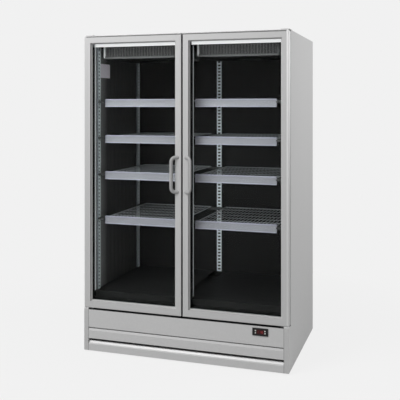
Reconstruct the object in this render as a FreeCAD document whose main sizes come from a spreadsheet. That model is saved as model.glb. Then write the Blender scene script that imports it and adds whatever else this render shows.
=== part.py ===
"""Upright two-door glass display refrigerator with its machine compartment in the base.

Frame: X to the right, Y to the back, Z up; origin under the middle of the overall box.
All lengths are millimetres.
"""
import FreeCAD, Part
import math
import os
import re

import Sketcher
from FreeCAD import Placement, Rotation, Vector

# Driving dimensions: alias and value.
SIZES = {
    # overall
    "width": 1310,
    "height": 2000,
    "body_depth": 870,
    "handle_reach": 32,
    # sheets and walls of the case
    "sheet": 1.2,
    "liner": 1,
    "side_wall": 42,
    "rear_wall": 60,
    "floor_wall": 60,
    "roof_wall": 58,
    "frame_depth": 10,
    "header_lip": 6,
    "sill_lip": 5,
    "mullion_width": 70,
    "mullion_depth": 40,
    # base
    "base_top": 266,
    "floor_gap": 8,
    "post_width": 30,
    "post_return": 24,
    "trim_gap": 0.5,
    "fascia_bottom": 155,
    "louvre_bottom": 85,
    "louvre_top": 148,
    "louvre_bevel": 14,
    "louvre_slope": 5,
    "kick_top": 67,
    "kick_bevel": 17,
    "kick_slope": 14,
    "trim_flange": 16,
    "chassis_height": 40,
    "chassis_rail": 26,
    "chassis_wall": 3,
    "chassis_inset": 26,
    "grille_inset": 8,
    "grille_slots": 12,
    "grille_slot_width": 10,
    "grille_slot_height": 120,
    "grille_pitch": 60,
    "foot_radius": 22,
    "foot_stud": 6,
    "foot_inset": 70,
    # controller
    "controller_side": 169,
    "controller_z": 233,
    "bezel_width": 94,
    "bezel_height": 44,
    "bezel_thick": 3,
    "housing_width": 71,
    "housing_height": 29,
    "housing_depth": 40,
    "housing_wall": 2,
    "window_width": 44,
    "window_height": 25,
    "window_thick": 1.5,
    "key_size": 5,
    "key_x": 28.5,
    "key_z": 6.5,
    "key_stand": 0.9,
    "key_flange": 1.4,
    "key_air": 0.15,
    "key_rim": 1,
    # doors
    "door_depth": 45,
    "seal_gap": 9,
    "door_floor_gap": 12,
    "door_roof_gap": 2,
    "meeting_gap": 8,
    "stile_face": 37,
    "top_rail_face": 41,
    "bottom_rail_face": 46,
    "bevel": 7,
    "edge_round": 12,
    "meeting_round": 4,
    "glass_inset": 20,
    "glass_bite": 20,
    "glass_air": 0.5,
    "pane": 4,
    "pane_gap": 12,
    "edge_seal": 6,
    "spacer_bar": 6.5,
    "gasket_width": 18,
    "gasket_inset": 16,
    "gasket_meeting": 8,
    "gasket_air": 0.3,
    # door handles
    "handle_bottom": 1019,
    "handle_length": 231,
    "handle_radius": 7.5,
    "handle_flat": 6.2,
    "handle_bend": 24,
    "handle_foot": 26,
    "handle_offset": 26,
    # hinges
    "hinge_plate": 4,
    "hinge_side": 14,
    "hinge_back": 15,
    "hinge_width": 50,
    "hinge_tail": 60,
    "pin_radius": 5,
    "pin_air": 0.05,
    "pin_length": 22,
    "bush_wall": 3,
    "bush_proud": 1,
    "bush_rim": 3,
    # shelves
    "deck_height": 43,
    "deck_front": 12,
    "deck_side_air": 3,
    "standard_width": 34,
    "standard_depth": 12,
    "standard_wall": 2.5,
    "standard_front": 88,
    "standard_rear": 40,
    "standard_drop": 12,
    "slot_pitch": 150,
    "slot_height": 13,
    "slot_width": 14,
    "shelf_level_one": 837,
    "shelf_level_two": 1123,
    "shelf_level_three": 1356,
    "shelf_level_four": 1587,
    "shelf_centre_air": 17,
    "shelf_side_air": 41,
    "shelf_front": 116,
    "shelf_rear_air": 30,
    "shelf_thick": 6,
    "shelf_rim": 10,
    "shelf_bars": 7,
    "shelf_bar": 6,
    "rail_height": 50,
    "rail_lip": 8,
    "rail_depth": 12,
    "rail_wall": 2,
    "rail_tilt": 5,
    "clip_height": 10,
    "clip_length": 65,
    "bracket_half": 60,
    # lamp
    "lamp_height": 30,
    "lamp_proud": 5,
    "lamp_drop": 7,
    "lamp_side": 2,
    # evaporators and their fans
    "cover_centre_air": 22,
    "cover_side_air": 35,
    "cover_height": 88,
    "cover_front": 112,
    "cover_depth": 420,
    "cover_wall": 2,
    "cover_round": 20,
    "cover_slots": 12,
    "cover_slot_width": 14,
    "cover_slot_height": 46,
    "cover_slot_drop": 8,
    "cover_slot_pitch": 38,
    "coil_depth": 150,
    "coil_height": 70,
    "coil_side": 40,
    "coil_front": 40,
    "coil_tube": 5,
    "fan_centre": 310,
    "fan_radius": 72,
    "fan_hub": 20,
    "fan_thick": 18,
    "fan_lift": 8,
    "fan_tip_air": 6,
    "fan_blades": 5,
    "fan_blade_wide": 34,
    "fan_blade_gauge": 3,
    "fan_blade_rise": 12,
    "shaft_radius": 3,
    "shaft_air": 0.05,
    "motor_radius": 26,
    "motor_rise": 8,
    # condensing unit
    "condenser_left": 420,
    "condenser_width": 320,
    "condenser_front": 70,
    "condenser_depth": 60,
    "condenser_height": 190,
    "shroud_depth": 34,
    "shroud_wall": 3,
    "condenser_fins": 20,
    "condenser_fin": 8,
    "condenser_groove": 50,
    "motor_length": 50,
    "motor_bar": 24,
    "condenser_fan_radius": 82,
    "compressor_x": 250,
    "compressor_y": 120,
    "compressor_radius": 78,
    "compressor_height": 165,
    "compressor_foot": 12,
    "compressor_plate": 124,
    "compressor_round": 34,
    "compressor_stub": 12,
    "pipe_radius": 5,
    "pipe_bend": 30,
    "pipe_z": 150,
    "pipe_run": 70,
    "pan_width": 300,
    "pan_depth": 200,
    "pan_height": 30,
    "pan_wall": 3,
    "pan_x": -300,
    "pan_rear": 113,
    # cable gland at the rear
    "gland_side": 135,
    "gland_z": 90,
    "gland_bore": 6,
    "gland_radius": 10,
    "gland_rim": 4,
    "gland_thick": 4,
    "gland_length": 16,
}

# Places worked out from the driving dimensions.
PLACES = {
    "half": "width / 2",
    "front": "(handle_reach - body_depth) / 2",
    "rear": "(handle_reach + body_depth) / 2",
    "case_front": "front + door_depth + seal_gap",
    "roof_top": "height - hinge_plate",
    "box_bottom": "base_top + hinge_plate",
    "door_bottom": "base_top + door_floor_gap",
    "door_top": "roof_top - door_roof_gap",
    "door_height": "door_top - door_bottom",
    "door_width": "half - meeting_gap / 2",
    "panel_half": "half - sheet",
    "liner_half": "half - side_wall",
    "liner_rear": "rear - rear_wall",
    "liner_floor": "box_bottom + floor_wall",
    "liner_ceiling": "roof_top - roof_wall",
    "opening_top": "liner_ceiling - header_lip",
    "opening_bottom": "liner_floor + sill_lip",
    "liner_front": "case_front + frame_depth",
    "mullion_half": "mullion_width / 2",
    "mullion_rear": "case_front + mullion_depth",
    "post_half": "half - post_width",
    "trim_half": "post_half - trim_gap",
    "stile_sight": "stile_face + bevel",
    "top_sight": "top_rail_face + bevel",
    "bottom_sight": "bottom_rail_face + bevel",
    "glass_depth": "2 * pane + pane_gap",
    "glass_low_x": "-half + stile_sight - glass_bite + glass_air",
    "glass_high_x": "-meeting_gap / 2 - stile_sight + glass_bite - glass_air",
    "glass_low_z": "door_bottom + bottom_sight - glass_bite + glass_air",
    "glass_high_z": "door_top - top_sight + glass_bite - glass_air",
    "glass_front": "front + glass_inset",
    "bead_front": "glass_front + glass_depth",
    "door_rear": "front + door_depth",
    "pivot_x": "-half + hinge_side",
    "pivot_y": "door_rear - hinge_back",
    "bush_radius": "pin_radius + pin_air + bush_wall",
    "deck_top": "liner_floor + deck_height",
    "deck_edge": "case_front + deck_front",
    "wall_standard_front": "front + standard_front",
    "wall_standard_rear": "liner_rear - standard_rear - standard_width",
    "standard_face": "liner_half - standard_depth",
    "standard_top": "liner_ceiling - standard_drop",
    "shelf_inner": "mullion_half + shelf_centre_air",
    "shelf_outer": "standard_face - shelf_side_air",
    "shelf_start": "front + shelf_front",
    "shelf_end": "liner_rear - shelf_rear_air",
    "cover_inner": "mullion_half + cover_centre_air",
    "cover_outer": "liner_half - cover_side_air",
    "cover_bottom": "liner_ceiling - cover_height",
    "cover_start": "front + cover_front",
    "cover_middle": "(cover_inner + cover_outer) / 2",
    "fan_y": "cover_start + fan_centre",
    "fan_bottom": "cover_bottom + cover_wall + fan_lift",
    "chassis_top": "chassis_height",
    "grille_rear": "rear - grille_inset",
    "condenser_start": "front + condenser_front",
    "shroud_start": "condenser_start + condenser_depth",
    "shroud_end": "shroud_start + shroud_depth",
    "condenser_middle": "-condenser_left + condenser_width / 2",
    "condenser_fan_z": "chassis_top + condenser_height / 2",
    "controller_x": "half - controller_side",
    "controller_face": "front - bezel_thick",
    "gland_x": "gland_side - half",
}

SIDES = {"left": -1, "right": 1}
UP = Vector(0, 0, 1)
QUARTER_TURN = math.pi / 2
# Size of a sketch as first drawn, before its formulas take hold, and the play in finding its edges.
DRAWN = 100
TOUCH = 0.01
SHELF_LEVELS = ("shelf_level_one", "shelf_level_two", "shelf_level_three", "shelf_level_four")

doc = FreeCAD.newDocument("display_refrigerator")
sheet = doc.addObject("Spreadsheet::Sheet", "Dims")
for row, (alias, value) in enumerate(SIZES.items(), 1):
    sheet.set(f"A{row}", alias)
    sheet.set(f"B{row}", str(value))
    sheet.setAlias(f"B{row}", alias)
doc.recompute()


# Formulas and bindings

def expand(formula):
    """Write a formula out in the sheet's own cells, places first."""
    def word(match):
        name = match.group()
        if name in PLACES:
            return "(" + expand(PLACES[name]) + ")"
        return "Dims." + name if name in SIZES else name
    return re.sub(r"[a-z][a-z_]*", word, str(formula))


def bind(target, path, formula):
    """Tie one property of an object to the sheet."""
    target.setExpression(path, expand(formula))


def place(target, x="0", y="0", z="0", rotation=None):
    """Set an object at formulas, turned first if a rotation is given."""
    if rotation:
        target.Placement = Placement(Vector(), rotation)
    for axis, formula in zip("xyz", (x, y, z)):
        bind(target, "Placement.Base." + axis, formula)
    return target


# Plain solids and booleans

def block(name, x, y, z):
    """A block between (low, high) formulas on each axis."""
    solid = doc.addObject("Part::Box", name)
    for size, axis, (low, high) in zip(("Length", "Width", "Height"), "xyz", (x, y, z)):
        bind(solid, size, f"({high}) - ({low})")
        bind(solid, "Placement.Base." + axis, low)
    return solid


ALONG = {
    "z": Rotation(),
    "y": Rotation(Vector(1, 0, 0), -90),
    "x": Rotation(Vector(0, 1, 0), 90),
}


def rod(name, radius, length, at, axis="z"):
    """A round bar that starts at a point and runs along one axis."""
    solid = doc.addObject("Part::Cylinder", name)
    bind(solid, "Radius", radius)
    bind(solid, "Height", length)
    return place(solid, *at, rotation=ALONG[axis])


def flat_sided(name, sides, radius, length, at, axis="z"):
    """A straight bar with flat sides that starts at a point and runs along one axis."""
    solid = doc.addObject("Part::Prism", name)
    solid.Polygon = sides
    bind(solid, "Circumradius", radius)
    bind(solid, "Height", length)
    return place(solid, *at, rotation=ALONG[axis])


def join(name, pieces):
    """One solid from pieces that touch or overlap."""
    result = doc.addObject("Part::MultiFuse", name)
    result.Shapes = pieces
    result.Refine = True
    return result


def cut(name, base, tools):
    """A base with one or more tools taken out of it."""
    result = doc.addObject("Part::Cut", name)
    result.Base = base
    result.Tool = tools[0] if len(tools) == 1 else join(name + "_tools", tools)
    return result


def keep(name, base, region):
    """The share of a base that lies in a region."""
    result = doc.addObject("Part::Common", name)
    result.Base = base
    result.Tool = region
    return result


def group(name, pieces):
    """Separate solids that share one node."""
    result = doc.addObject("Part::Compound", name)
    result.Links = pieces
    return result


def mirrored(name, source):
    """The same piece on the other side of the middle plane."""
    result = doc.addObject("Part::Mirroring", name)
    result.Source = source
    result.Normal = Vector(1, 0, 0)
    return result


def window(name, x, y, z, border):
    """A flat rectangular ring in the XZ plane with an even border."""
    (x_low, x_high), (z_low, z_high) = x, z
    outer = block(name + "_outer", x, y, z)
    inner = block(
        name + "_inner",
        (f"{x_low} + {border}", f"{x_high} - ({border})"),
        y,
        (f"{z_low} + {border}", f"{z_high} - ({border})"),
    )
    return cut(name, outer, [inner])


# Bodies made from sketches

def new_body(name):
    return doc.addObject("PartDesign::Body", name)


def origin_part(body, role):
    """One of the body's own planes or axes, by its role."""
    return next(item for item in body.Origin.OriginFeatures if item.Role == role)


def new_sketch(body, name, plane, lift=None):
    """An empty sketch on one of the body's planes, lifted off it along the normal."""
    sketch = body.newObject("Sketcher::SketchObject", name)
    sketch.AttachmentSupport = [(origin_part(body, plane), "")]
    sketch.MapMode = "FlatFace"
    if lift:
        bind(sketch, "AttachmentOffset.Base.z", lift)
    return sketch


def hold_point(sketch, item, end, x, y):
    """Fix one point of a sketch at formulas from its origin."""
    drawn = sketch.getPoint(item, end)
    for kind, at, formula in (("DistanceX", drawn.x, x), ("DistanceY", drawn.y, y)):
        number = sketch.addConstraint(Sketcher.Constraint(kind, -1, 1, item, end, at))
        bind(sketch, f"Constraints[{number}]", formula)


def outline(body, name, plane, corners, lift=None):
    """A closed sketch of straight lines with every corner at formulas."""
    sketch = new_sketch(body, name, plane, lift)
    count = len(corners)
    spread = Rotation(UP, 360 / count)
    points = [Vector(DRAWN, 0, 0)]
    for _ in corners[1:]:
        points.append(spread.multVec(points[-1]))
    for number in range(count):
        sketch.addGeometry(Part.LineSegment(points[number], points[(number + 1) % count]))
    for number in range(count):
        sketch.addConstraint(Sketcher.Constraint("Coincident", number, 2, (number + 1) % count, 1))
    for number, (x, y) in enumerate(corners):
        hold_point(sketch, number, 1, x, y)
    return sketch


def circle(body, name, plane, x, y, radius, lift=None):
    """A sketch of one circle."""
    sketch = new_sketch(body, name, plane, lift)
    sketch.addGeometry(Part.Circle(Vector(), UP, DRAWN))
    hold_point(sketch, 0, 3, x, y)
    number = sketch.addConstraint(Sketcher.Constraint("Radius", 0, DRAWN))
    bind(sketch, f"Constraints[{number}]", radius)
    return sketch


def rectangle(x, y):
    """Corners of a rectangle between (low, high) formulas."""
    return [(x[0], y[0]), (x[1], y[0]), (x[1], y[1]), (x[0], y[1])]


def polygon(sides, radius):
    """Corners of an even polygon about the origin, with a side square to the first axis."""
    step = 2 * math.pi / sides
    turns = [step * (number + 0.5) for number in range(sides)]
    return [(f"{math.cos(turn):.6f} * ({radius})", f"{math.sin(turn):.6f} * ({radius})") for turn in turns]


def pad(body, sketch, length, reverse=False):
    feature = body.newObject("PartDesign::Pad", sketch.Name + "_pad")
    feature.Profile = sketch
    feature.Reversed = reverse
    bind(feature, "Length", length)
    return feature


def pocket(body, sketch, length, reverse=False):
    feature = body.newObject("PartDesign::Pocket", sketch.Name + "_pocket")
    feature.Profile = sketch
    feature.Reversed = reverse
    bind(feature, "Length", length)
    return feature


def row_of(body, feature, axis, count, length):
    """Repeat a feature along one of the body's axes over an overall length."""
    pattern = body.newObject("PartDesign::LinearPattern", feature.Name + "_row")
    pattern.Originals = [feature]
    pattern.Direction = (origin_part(body, axis), [""])
    bind(pattern, "Occurrences", count)
    bind(pattern, "Length", length)
    body.Tip = pattern
    return pattern


def ring_of(body, feature, axis, count):
    """Repeat a feature round one of the body's axes."""
    pattern = body.newObject("PartDesign::PolarPattern", feature.Name + "_ring")
    pattern.Originals = [feature]
    pattern.Axis = (origin_part(body, axis), [""])
    pattern.Angle = 360
    bind(pattern, "Occurrences", count)
    body.Tip = pattern
    return pattern


def soften(body, kind, feature, test, size):
    """Fillet or chamfer the edges of a feature whose middle passes a test."""
    doc.recompute()
    edges = [
        f"Edge{number}"
        for number, edge in enumerate(feature.Shape.Edges, 1)
        if test(edge.CenterOfMass)
    ]
    result = body.newObject("PartDesign::" + kind, feature.Name + "_" + kind.lower())
    result.Base = (feature, edges)
    bind(result, "Radius" if kind == "Fillet" else "Size", size)
    return result


def turned(name, corners):
    """A solid of revolution about Z from (radius, height) corners."""
    body = new_body(name)
    sketch = outline(body, name + "_profile", "XZ_Plane", corners)
    feature = body.newObject("PartDesign::Revolution", name + "_turn")
    feature.Profile = sketch
    feature.ReferenceAxis = (sketch, ["V_Axis"])
    feature.Angle = 360
    return body


def folded(name, corners, half_length):
    """A sheet profile in the YZ plane drawn out along X, centred on the middle plane."""
    body = new_body(name)
    sketch = outline(body, name + "_profile", "YZ_Plane", corners)
    pad(body, sketch, f"2 * ({half_length})")
    return place(body, f"-({half_length})", "front")


def near(value, target):
    """True where a measured place is at a target place."""
    return abs(value - target) < TOUCH


def size(alias):
    """A driving dimension as a number."""
    return getattr(sheet, alias)


# Outer case

def side_panel(side):
    """One side sheet: set back behind the door above, out to the front plane in the base."""
    body = new_body("side_panel_" + side)
    step = "door_depth + seal_gap"
    corners = [
        ("0", "floor_gap"),
        ("body_depth", "floor_gap"),
        ("body_depth", "roof_top"),
        (step, "roof_top"),
        (step, "base_top"),
        ("0", "base_top"),
    ]
    pad(body, outline(body, body.Name + "_outline", "YZ_Plane", corners), "sheet")
    return place(body, "panel_half" if side == "right" else "-half", "front")


def base_posts():
    """The two folded posts at the front of the base, each with a ledge on top."""
    x = ("post_half", "panel_half")
    z = ("floor_gap", "base_top")
    face = block("post_face", x, ("front", "front + sheet"), z)
    ledge = block("post_ledge", x, ("front", "case_front"), ("base_top - sheet", "base_top"))
    inner = ("post_half", "post_half + sheet")
    back = block("post_back", inner, ("front", "front + post_return"), z)
    right = join("post_right", [face, ledge, back])
    return group("base_posts", [right, mirrored("post_left", right)])


def roof_panel():
    x = ("-panel_half", "panel_half")
    return block("roof_panel", x, ("case_front", "rear"), ("roof_top - sheet", "roof_top"))


def rear_panel():
    z = ("base_top", "roof_top - sheet")
    return block("rear_panel", ("-panel_half", "panel_half"), ("rear - sheet", "rear"), z)


def insulation_foam():
    """Foam slabs between the outer sheets and the liner."""
    inside = "liner_half + liner"
    y = ("liner_front", "rear - sheet")
    z = ("box_bottom", "roof_top - sheet")
    right = block("foam_right", (inside, "panel_half"), y, z)
    left = mirrored("foam_left", right)
    x = (f"-({inside})", inside)
    ceiling = block("foam_ceiling", x, y, ("liner_ceiling + liner", z[1]))
    floor = block("foam_floor", x, y, (z[0], "liner_floor - liner"))
    back_z = ("liner_floor - liner", "liner_ceiling + liner")
    back = block("foam_back", x, ("liner_rear + liner", y[1]), back_z)
    return group("insulation_foam", [right, left, ceiling, floor, back])


def inner_liner():
    """Five flat sheets that line the cold space."""
    outside = "liner_half + liner"
    y = ("liner_front", "liner_rear + liner")
    z = ("liner_floor - liner", "liner_ceiling + liner")
    right = block("liner_right", ("liner_half", outside), y, z)
    left = mirrored("liner_left", right)
    x = ("-liner_half", "liner_half")
    ceiling = block("liner_top", x, y, ("liner_ceiling", z[1]))
    floor = block("liner_bottom", x, y, (z[0], "liner_floor"))
    back = block("liner_back", x, ("liner_rear", y[1]), ("liner_floor", "liner_ceiling"))
    return group("inner_liner", [right, left, ceiling, floor, back])


def front_frame():
    """Four trim strips round the opening, which the door gaskets close against."""
    y = ("case_front", "liner_front")
    x = ("-panel_half", "panel_half")
    header = block("frame_header", x, y, ("opening_top", "roof_top - sheet"))
    sill = block("frame_sill", x, y, ("box_bottom", "opening_bottom"))
    jamb_z = ("opening_bottom", "opening_top")
    right = block("frame_right", ("liner_half", "panel_half"), y, jamb_z)
    left = mirrored("frame_left", right)
    return group("front_frame", [header, sill, right, left])


def centre_mullion():
    """The upright between the doors, with rounded rear edges."""
    body = new_body("centre_mullion")
    corners = rectangle(("-mullion_half", "mullion_half"), ("0", "mullion_depth"))
    sketch = outline(body, "mullion_profile", "XY_Plane", corners)
    post = pad(body, sketch, "opening_top - opening_bottom")
    depth = size("mullion_depth")
    half = size("mullion_width") / 2
    soften(
        body,
        "Fillet",
        post,
        lambda at: near(at.y, depth) and near(abs(at.x), half),
        "meeting_round",
    )
    return place(body, "0", "case_front", "opening_bottom")


# Lamp under the header

def light_diffuser():
    """The lit strip on the face of the header, in front of its housing."""
    z = ("opening_top - lamp_drop", "opening_top - lamp_drop + lamp_height")
    y = ("case_front - lamp_proud", "case_front")
    right = block("diffuser_right", ("mullion_half + lamp_side", "liner_half - lamp_side"), y, z)
    return group("light_diffuser", [right, mirrored("diffuser_left", right)])


def light_housing():
    """The lamp's channel, tucked behind the header under the ceiling."""
    y = ("liner_front", "liner_front + lamp_height")
    x = ("mullion_half + lamp_side", "liner_half - lamp_side")
    z = ("liner_ceiling - header_lip", "liner_ceiling")
    right = block("lamp_right", x, y, z)
    return group("light_housing", [right, mirrored("lamp_left", right)])


# Shelving

def standard(name, length):
    """A slotted channel that stands on the deck, open side to local -X."""
    body = new_body(name)
    wall = "standard_wall"
    corners = [
        ("0", "0"),
        ("standard_depth", "0"),
        ("standard_depth", "standard_width"),
        ("0", "standard_width"),
        ("0", f"standard_width - {wall}"),
        (f"standard_depth - {wall}", f"standard_width - {wall}"),
        (f"standard_depth - {wall}", wall),
        ("0", wall),
    ]
    pad(body, outline(body, name + "_profile", "XY_Plane", corners), length)
    middle = "standard_width / 2"
    slot = outline(
        body,
        name + "_slot",
        "YZ_Plane",
        rectangle(
            (f"{middle} - slot_width / 2", f"{middle} + slot_width / 2"),
            ("slot_pitch / 2 - slot_height / 2", "slot_pitch / 2 + slot_height / 2"),
        ),
    )
    first = pocket(body, slot, "standard_depth", reverse=True)
    count = f"floor(({length}) / slot_pitch)"
    row_of(body, first, "Z_Axis", count, f"slot_pitch * ({count} - 1)")
    return body


def shelf_standards():
    """Two slotted channels on each side wall, one behind the mullion and one at the rear centre."""
    length = "standard_top - deck_top"
    half_turn = Rotation(UP, 180)
    to_front = Rotation(UP, -90)
    to_rear = Rotation(UP, 90)
    pieces = []
    for end, y in (("front", "wall_standard_front"), ("rear", "wall_standard_rear")):
        left = standard("standard_left_" + end, length)
        pieces.append(place(left, "-liner_half", y, "deck_top"))
        right = standard("standard_right_" + end, length)
        place(right, "liner_half", f"{y} + standard_width", "deck_top", half_turn)
        pieces.append(right)
    middle = "standard_width / 2"
    behind = standard("standard_centre_front", length)
    pieces.append(place(behind, middle, "mullion_rear", "deck_top", to_rear))
    rear = standard("standard_centre_rear", length)
    pieces.append(place(rear, f"-{middle}", "liner_rear", "deck_top", to_front))
    return group("shelf_standards", pieces)


def shelf(number):
    """The pair of flat grid shelves at one level, each with an even border and parallel bars."""
    level = SHELF_LEVELS[number - 1]
    name = f"shelf_grid_{number}"
    body = new_body(name)
    length = "shelf_outer - shelf_inner"
    depth = "shelf_end - shelf_start"
    plate = outline(body, name + "_plate", "XY_Plane", rectangle(("0", length), ("0", depth)))
    pad(body, plate, "shelf_thick")
    pitch = f"(({length}) - 2 * shelf_rim + shelf_bar) / shelf_bars"
    gap = outline(
        body,
        name + "_gap",
        "XY_Plane",
        rectangle(
            ("shelf_rim", f"shelf_rim + {pitch} - shelf_bar"),
            ("shelf_rim", f"{depth} - shelf_rim"),
        ),
    )
    first = pocket(body, gap, "shelf_thick", reverse=True)
    row_of(body, first, "X_Axis", "shelf_bars", f"{pitch} * (shelf_bars - 1)")
    place(body, "shelf_inner", "shelf_start", f"{level} - shelf_thick")
    return group(f"shelf_{number}", [body, mirrored(name + "_left", body)])


def price_rails():
    """A tilted label rail with two lips along the front of each shelf."""
    rails = []
    top = "rail_lip"
    bottom = "rail_lip - rail_height"
    corners = [
        ("0", bottom),
        ("rail_depth", bottom),
        ("rail_depth", f"{bottom} + rail_wall"),
        ("rail_tilt", f"{bottom} + rail_wall"),
        ("rail_depth - rail_wall", "-shelf_thick"),
        ("rail_depth", "-shelf_thick"),
        ("rail_depth", top),
        ("rail_tilt", top),
    ]
    for number, level in enumerate(SHELF_LEVELS, 1):
        body = new_body(f"rail_{number}")
        sketch = outline(body, f"rail_{number}_profile", "YZ_Plane", corners)
        pad(body, sketch, "shelf_outer - shelf_inner")
        place(body, "shelf_inner", "shelf_start - rail_depth", level)
        rails += [body, mirrored(f"rail_{number}_left", body)]
    return group("price_rails", rails)


def shelf_clips():
    """Arms that hook into the standards, each with a tongue under the shelf beside it."""
    clips = []
    arm_x = ("shelf_outer", "standard_face")
    tongue_x = ("shelf_outer - shelf_rim", "shelf_outer")
    stem_x = ("-standard_width / 2", "standard_width / 2")
    bar_x = ("-bracket_half", "bracket_half")
    front_end = "shelf_start + clip_length"
    rear_start = "shelf_end - clip_length"
    spans = {
        "front": (("wall_standard_front", front_end), ("shelf_start", front_end)),
        "rear": ((rear_start, "shelf_end"), (rear_start, "shelf_end")),
    }
    stems = {
        "front": ("mullion_rear + standard_depth", "shelf_start"),
        "rear": ("shelf_end", "liner_rear - standard_depth"),
    }
    for number, level in enumerate(SHELF_LEVELS, 1):
        z = (f"{level} - shelf_thick - clip_height", f"{level} - shelf_thick")
        for end, (arm_y, tongue_y) in spans.items():
            name = f"clip_{number}_{end}"
            arm = block(name + "_arm", arm_x, arm_y, z)
            right = join(name, [arm, block(name + "_tongue", tongue_x, tongue_y, z)])
            clips += [right, mirrored(name + "_left", right)]
            name = f"bracket_{number}_{end}"
            stem = block(name + "_stem", stem_x, stems[end], z)
            clips.append(join(name, [stem, block(name + "_bar", bar_x, tongue_y, z)]))
    return group("shelf_clips", clips)


def deck_panels():
    """Folded false floor of each bay with a riser at the front."""
    body = new_body("deck_right")
    depth = "liner_rear - deck_edge - deck_side_air"
    corners = [
        ("0", "0"),
        ("sheet", "0"),
        ("sheet", "deck_height - sheet"),
        (f"{depth} - sheet", "deck_height - sheet"),
        (f"{depth} - sheet", "0"),
        (depth, "0"),
        (depth, "deck_height"),
        ("0", "deck_height"),
    ]
    length = "liner_half - deck_side_air - mullion_half - deck_side_air"
    pad(body, outline(body, "deck_profile", "YZ_Plane", corners), length)
    place(body, "mullion_half + deck_side_air", "deck_edge", "liner_floor")
    return group("deck_panels", [body, mirrored("deck_left", body)])


# Cold unit under the ceiling

def evaporator_cover():
    """A tray with rounded lower edges, a row of air slots in front and a fan opening below."""
    body = new_body("cover_right")
    width = "cover_outer - cover_inner"
    floor = outline(
        body, "cover_plan", "XY_Plane", rectangle(("0", width), ("0", "cover_depth"))
    )
    tray = pad(body, floor, "cover_height")
    doc.recompute()
    span = tray.Shape.BoundBox.XMax
    rounded = soften(
        body,
        "Fillet",
        tray,
        lambda at: near(at.z, 0) and (near(at.y, 0) or near(at.x * (span - at.x), 0)),
        "cover_round",
    )
    doc.recompute()
    tall = size("cover_height")
    top = next(
        f"Face{number}"
        for number, face in enumerate(rounded.Shape.Faces, 1)
        if near(face.CenterOfMass.z, tall)
    )
    shell = body.newObject("PartDesign::Thickness", "cover_shell")
    shell.Base = (rounded, [top])
    shell.Reversed = True
    bind(shell, "Value", "cover_wall")
    opening = circle(
        body,
        "cover_fan_hole",
        "XY_Plane",
        f"({width}) / 2",
        "fan_centre",
        "fan_radius + fan_tip_air",
    )
    pocket(body, opening, "cover_wall", reverse=True)
    low = "cover_height - cover_slot_height - cover_slot_drop"
    start = f"(({width}) - cover_slot_pitch * (cover_slots - 1) - cover_slot_width) / 2"
    slot = outline(
        body,
        "cover_slot",
        "XZ_Plane",
        rectangle(
            (start, f"{start} + cover_slot_width"),
            (low, f"{low} + cover_slot_height"),
        ),
    )
    first = pocket(body, slot, "cover_wall")
    row_of(body, first, "X_Axis", "cover_slots", "cover_slot_pitch * (cover_slots - 1)")
    place(body, "cover_inner", "cover_start", "cover_bottom")
    return group("evaporator_covers", [body, mirrored("cover_left", body)])


def evaporator_coils():
    """A fin block with tube runs that show past its end plates, one in each cover."""
    x = ("cover_inner + coil_side", "cover_outer - coil_side")
    y = ("cover_start + coil_front", "cover_start + coil_front + coil_depth")
    z = ("liner_ceiling - coil_height", "liner_ceiling")
    pieces = [block("coil_fins", x, y, z)]
    run = f"{x[1]} - ({x[0]}) + coil_side"
    rows = 2
    for number in range(1, rows + 1):
        at_y = f"{y[0]} + coil_depth * {number} / {rows + 1}"
        at = (f"{x[0]} - coil_side / 2", at_y, "liner_ceiling - coil_height / 2")
        pieces.append(flat_sided(f"coil_tube_{number}", 8, "coil_tube", run, at, "x"))
    right = join("coil_right", pieces)
    return group("evaporator_coils", [right, mirrored("coil_left", right)])


def fan(name, radius):
    """An axial fan on local Z: a bored hub and pitched blades."""
    body = new_body(name)
    pad(body, outline(body, name + "_hub", "XY_Plane", polygon(12, "fan_hub")), "fan_thick")
    wide = "fan_blade_wide / 2"
    low = "(fan_thick - fan_blade_rise - fan_blade_gauge) / 2"
    corners = [
        (f"-{wide}", low),
        (wide, f"{low} + fan_blade_rise"),
        (wide, f"{low} + fan_blade_rise + fan_blade_gauge"),
        (f"-{wide}", f"{low} + fan_blade_gauge"),
    ]
    vane = pad(body, outline(body, name + "_blade", "XZ_Plane", corners), radius)
    ring_of(body, vane, "Z_Axis", "fan_blades")
    bore = circle(body, name + "_bore", "XY_Plane", "0", "0", "shaft_radius + shaft_air")
    body.Tip = pocket(body, bore, "fan_thick", reverse=True)
    return body


def evaporator_fan(side):
    """One fan above the opening of its cover."""
    x = f"{SIDES[side]} * cover_middle"
    return place(fan("evaporator_fan_" + side, "fan_radius"), x, "fan_y", "fan_bottom")


def fan_motors():
    """The evaporator fans' motors, hung from the ceiling with their shafts down, and the condenser's."""
    motor_bottom = "fan_bottom + fan_thick + motor_rise"
    at = ("cover_middle", "fan_y")
    tall = f"liner_ceiling - ({motor_bottom})"
    case = flat_sided("motor_case", 16, "motor_radius", tall, (*at, motor_bottom))
    shaft_length = "fan_thick + motor_rise"
    shaft = flat_sided("motor_shaft", 8, "shaft_radius", shaft_length, (*at, "fan_bottom"))
    right = join("motor_right", [case, shaft])
    return group("fan_motors", [right, mirrored("motor_left", right), condenser_motor()])


# Base and condensing unit

def c_profile(bottom, top):
    """A face with one flange at its foot and one at its head, all in sheet."""
    return [
        ("0", bottom),
        ("trim_flange", bottom),
        ("trim_flange", f"{bottom} + sheet"),
        ("sheet", f"{bottom} + sheet"),
        ("sheet", f"{top} - sheet"),
        ("trim_flange", f"{top} - sheet"),
        ("trim_flange", top),
        ("0", top),
    ]


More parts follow.
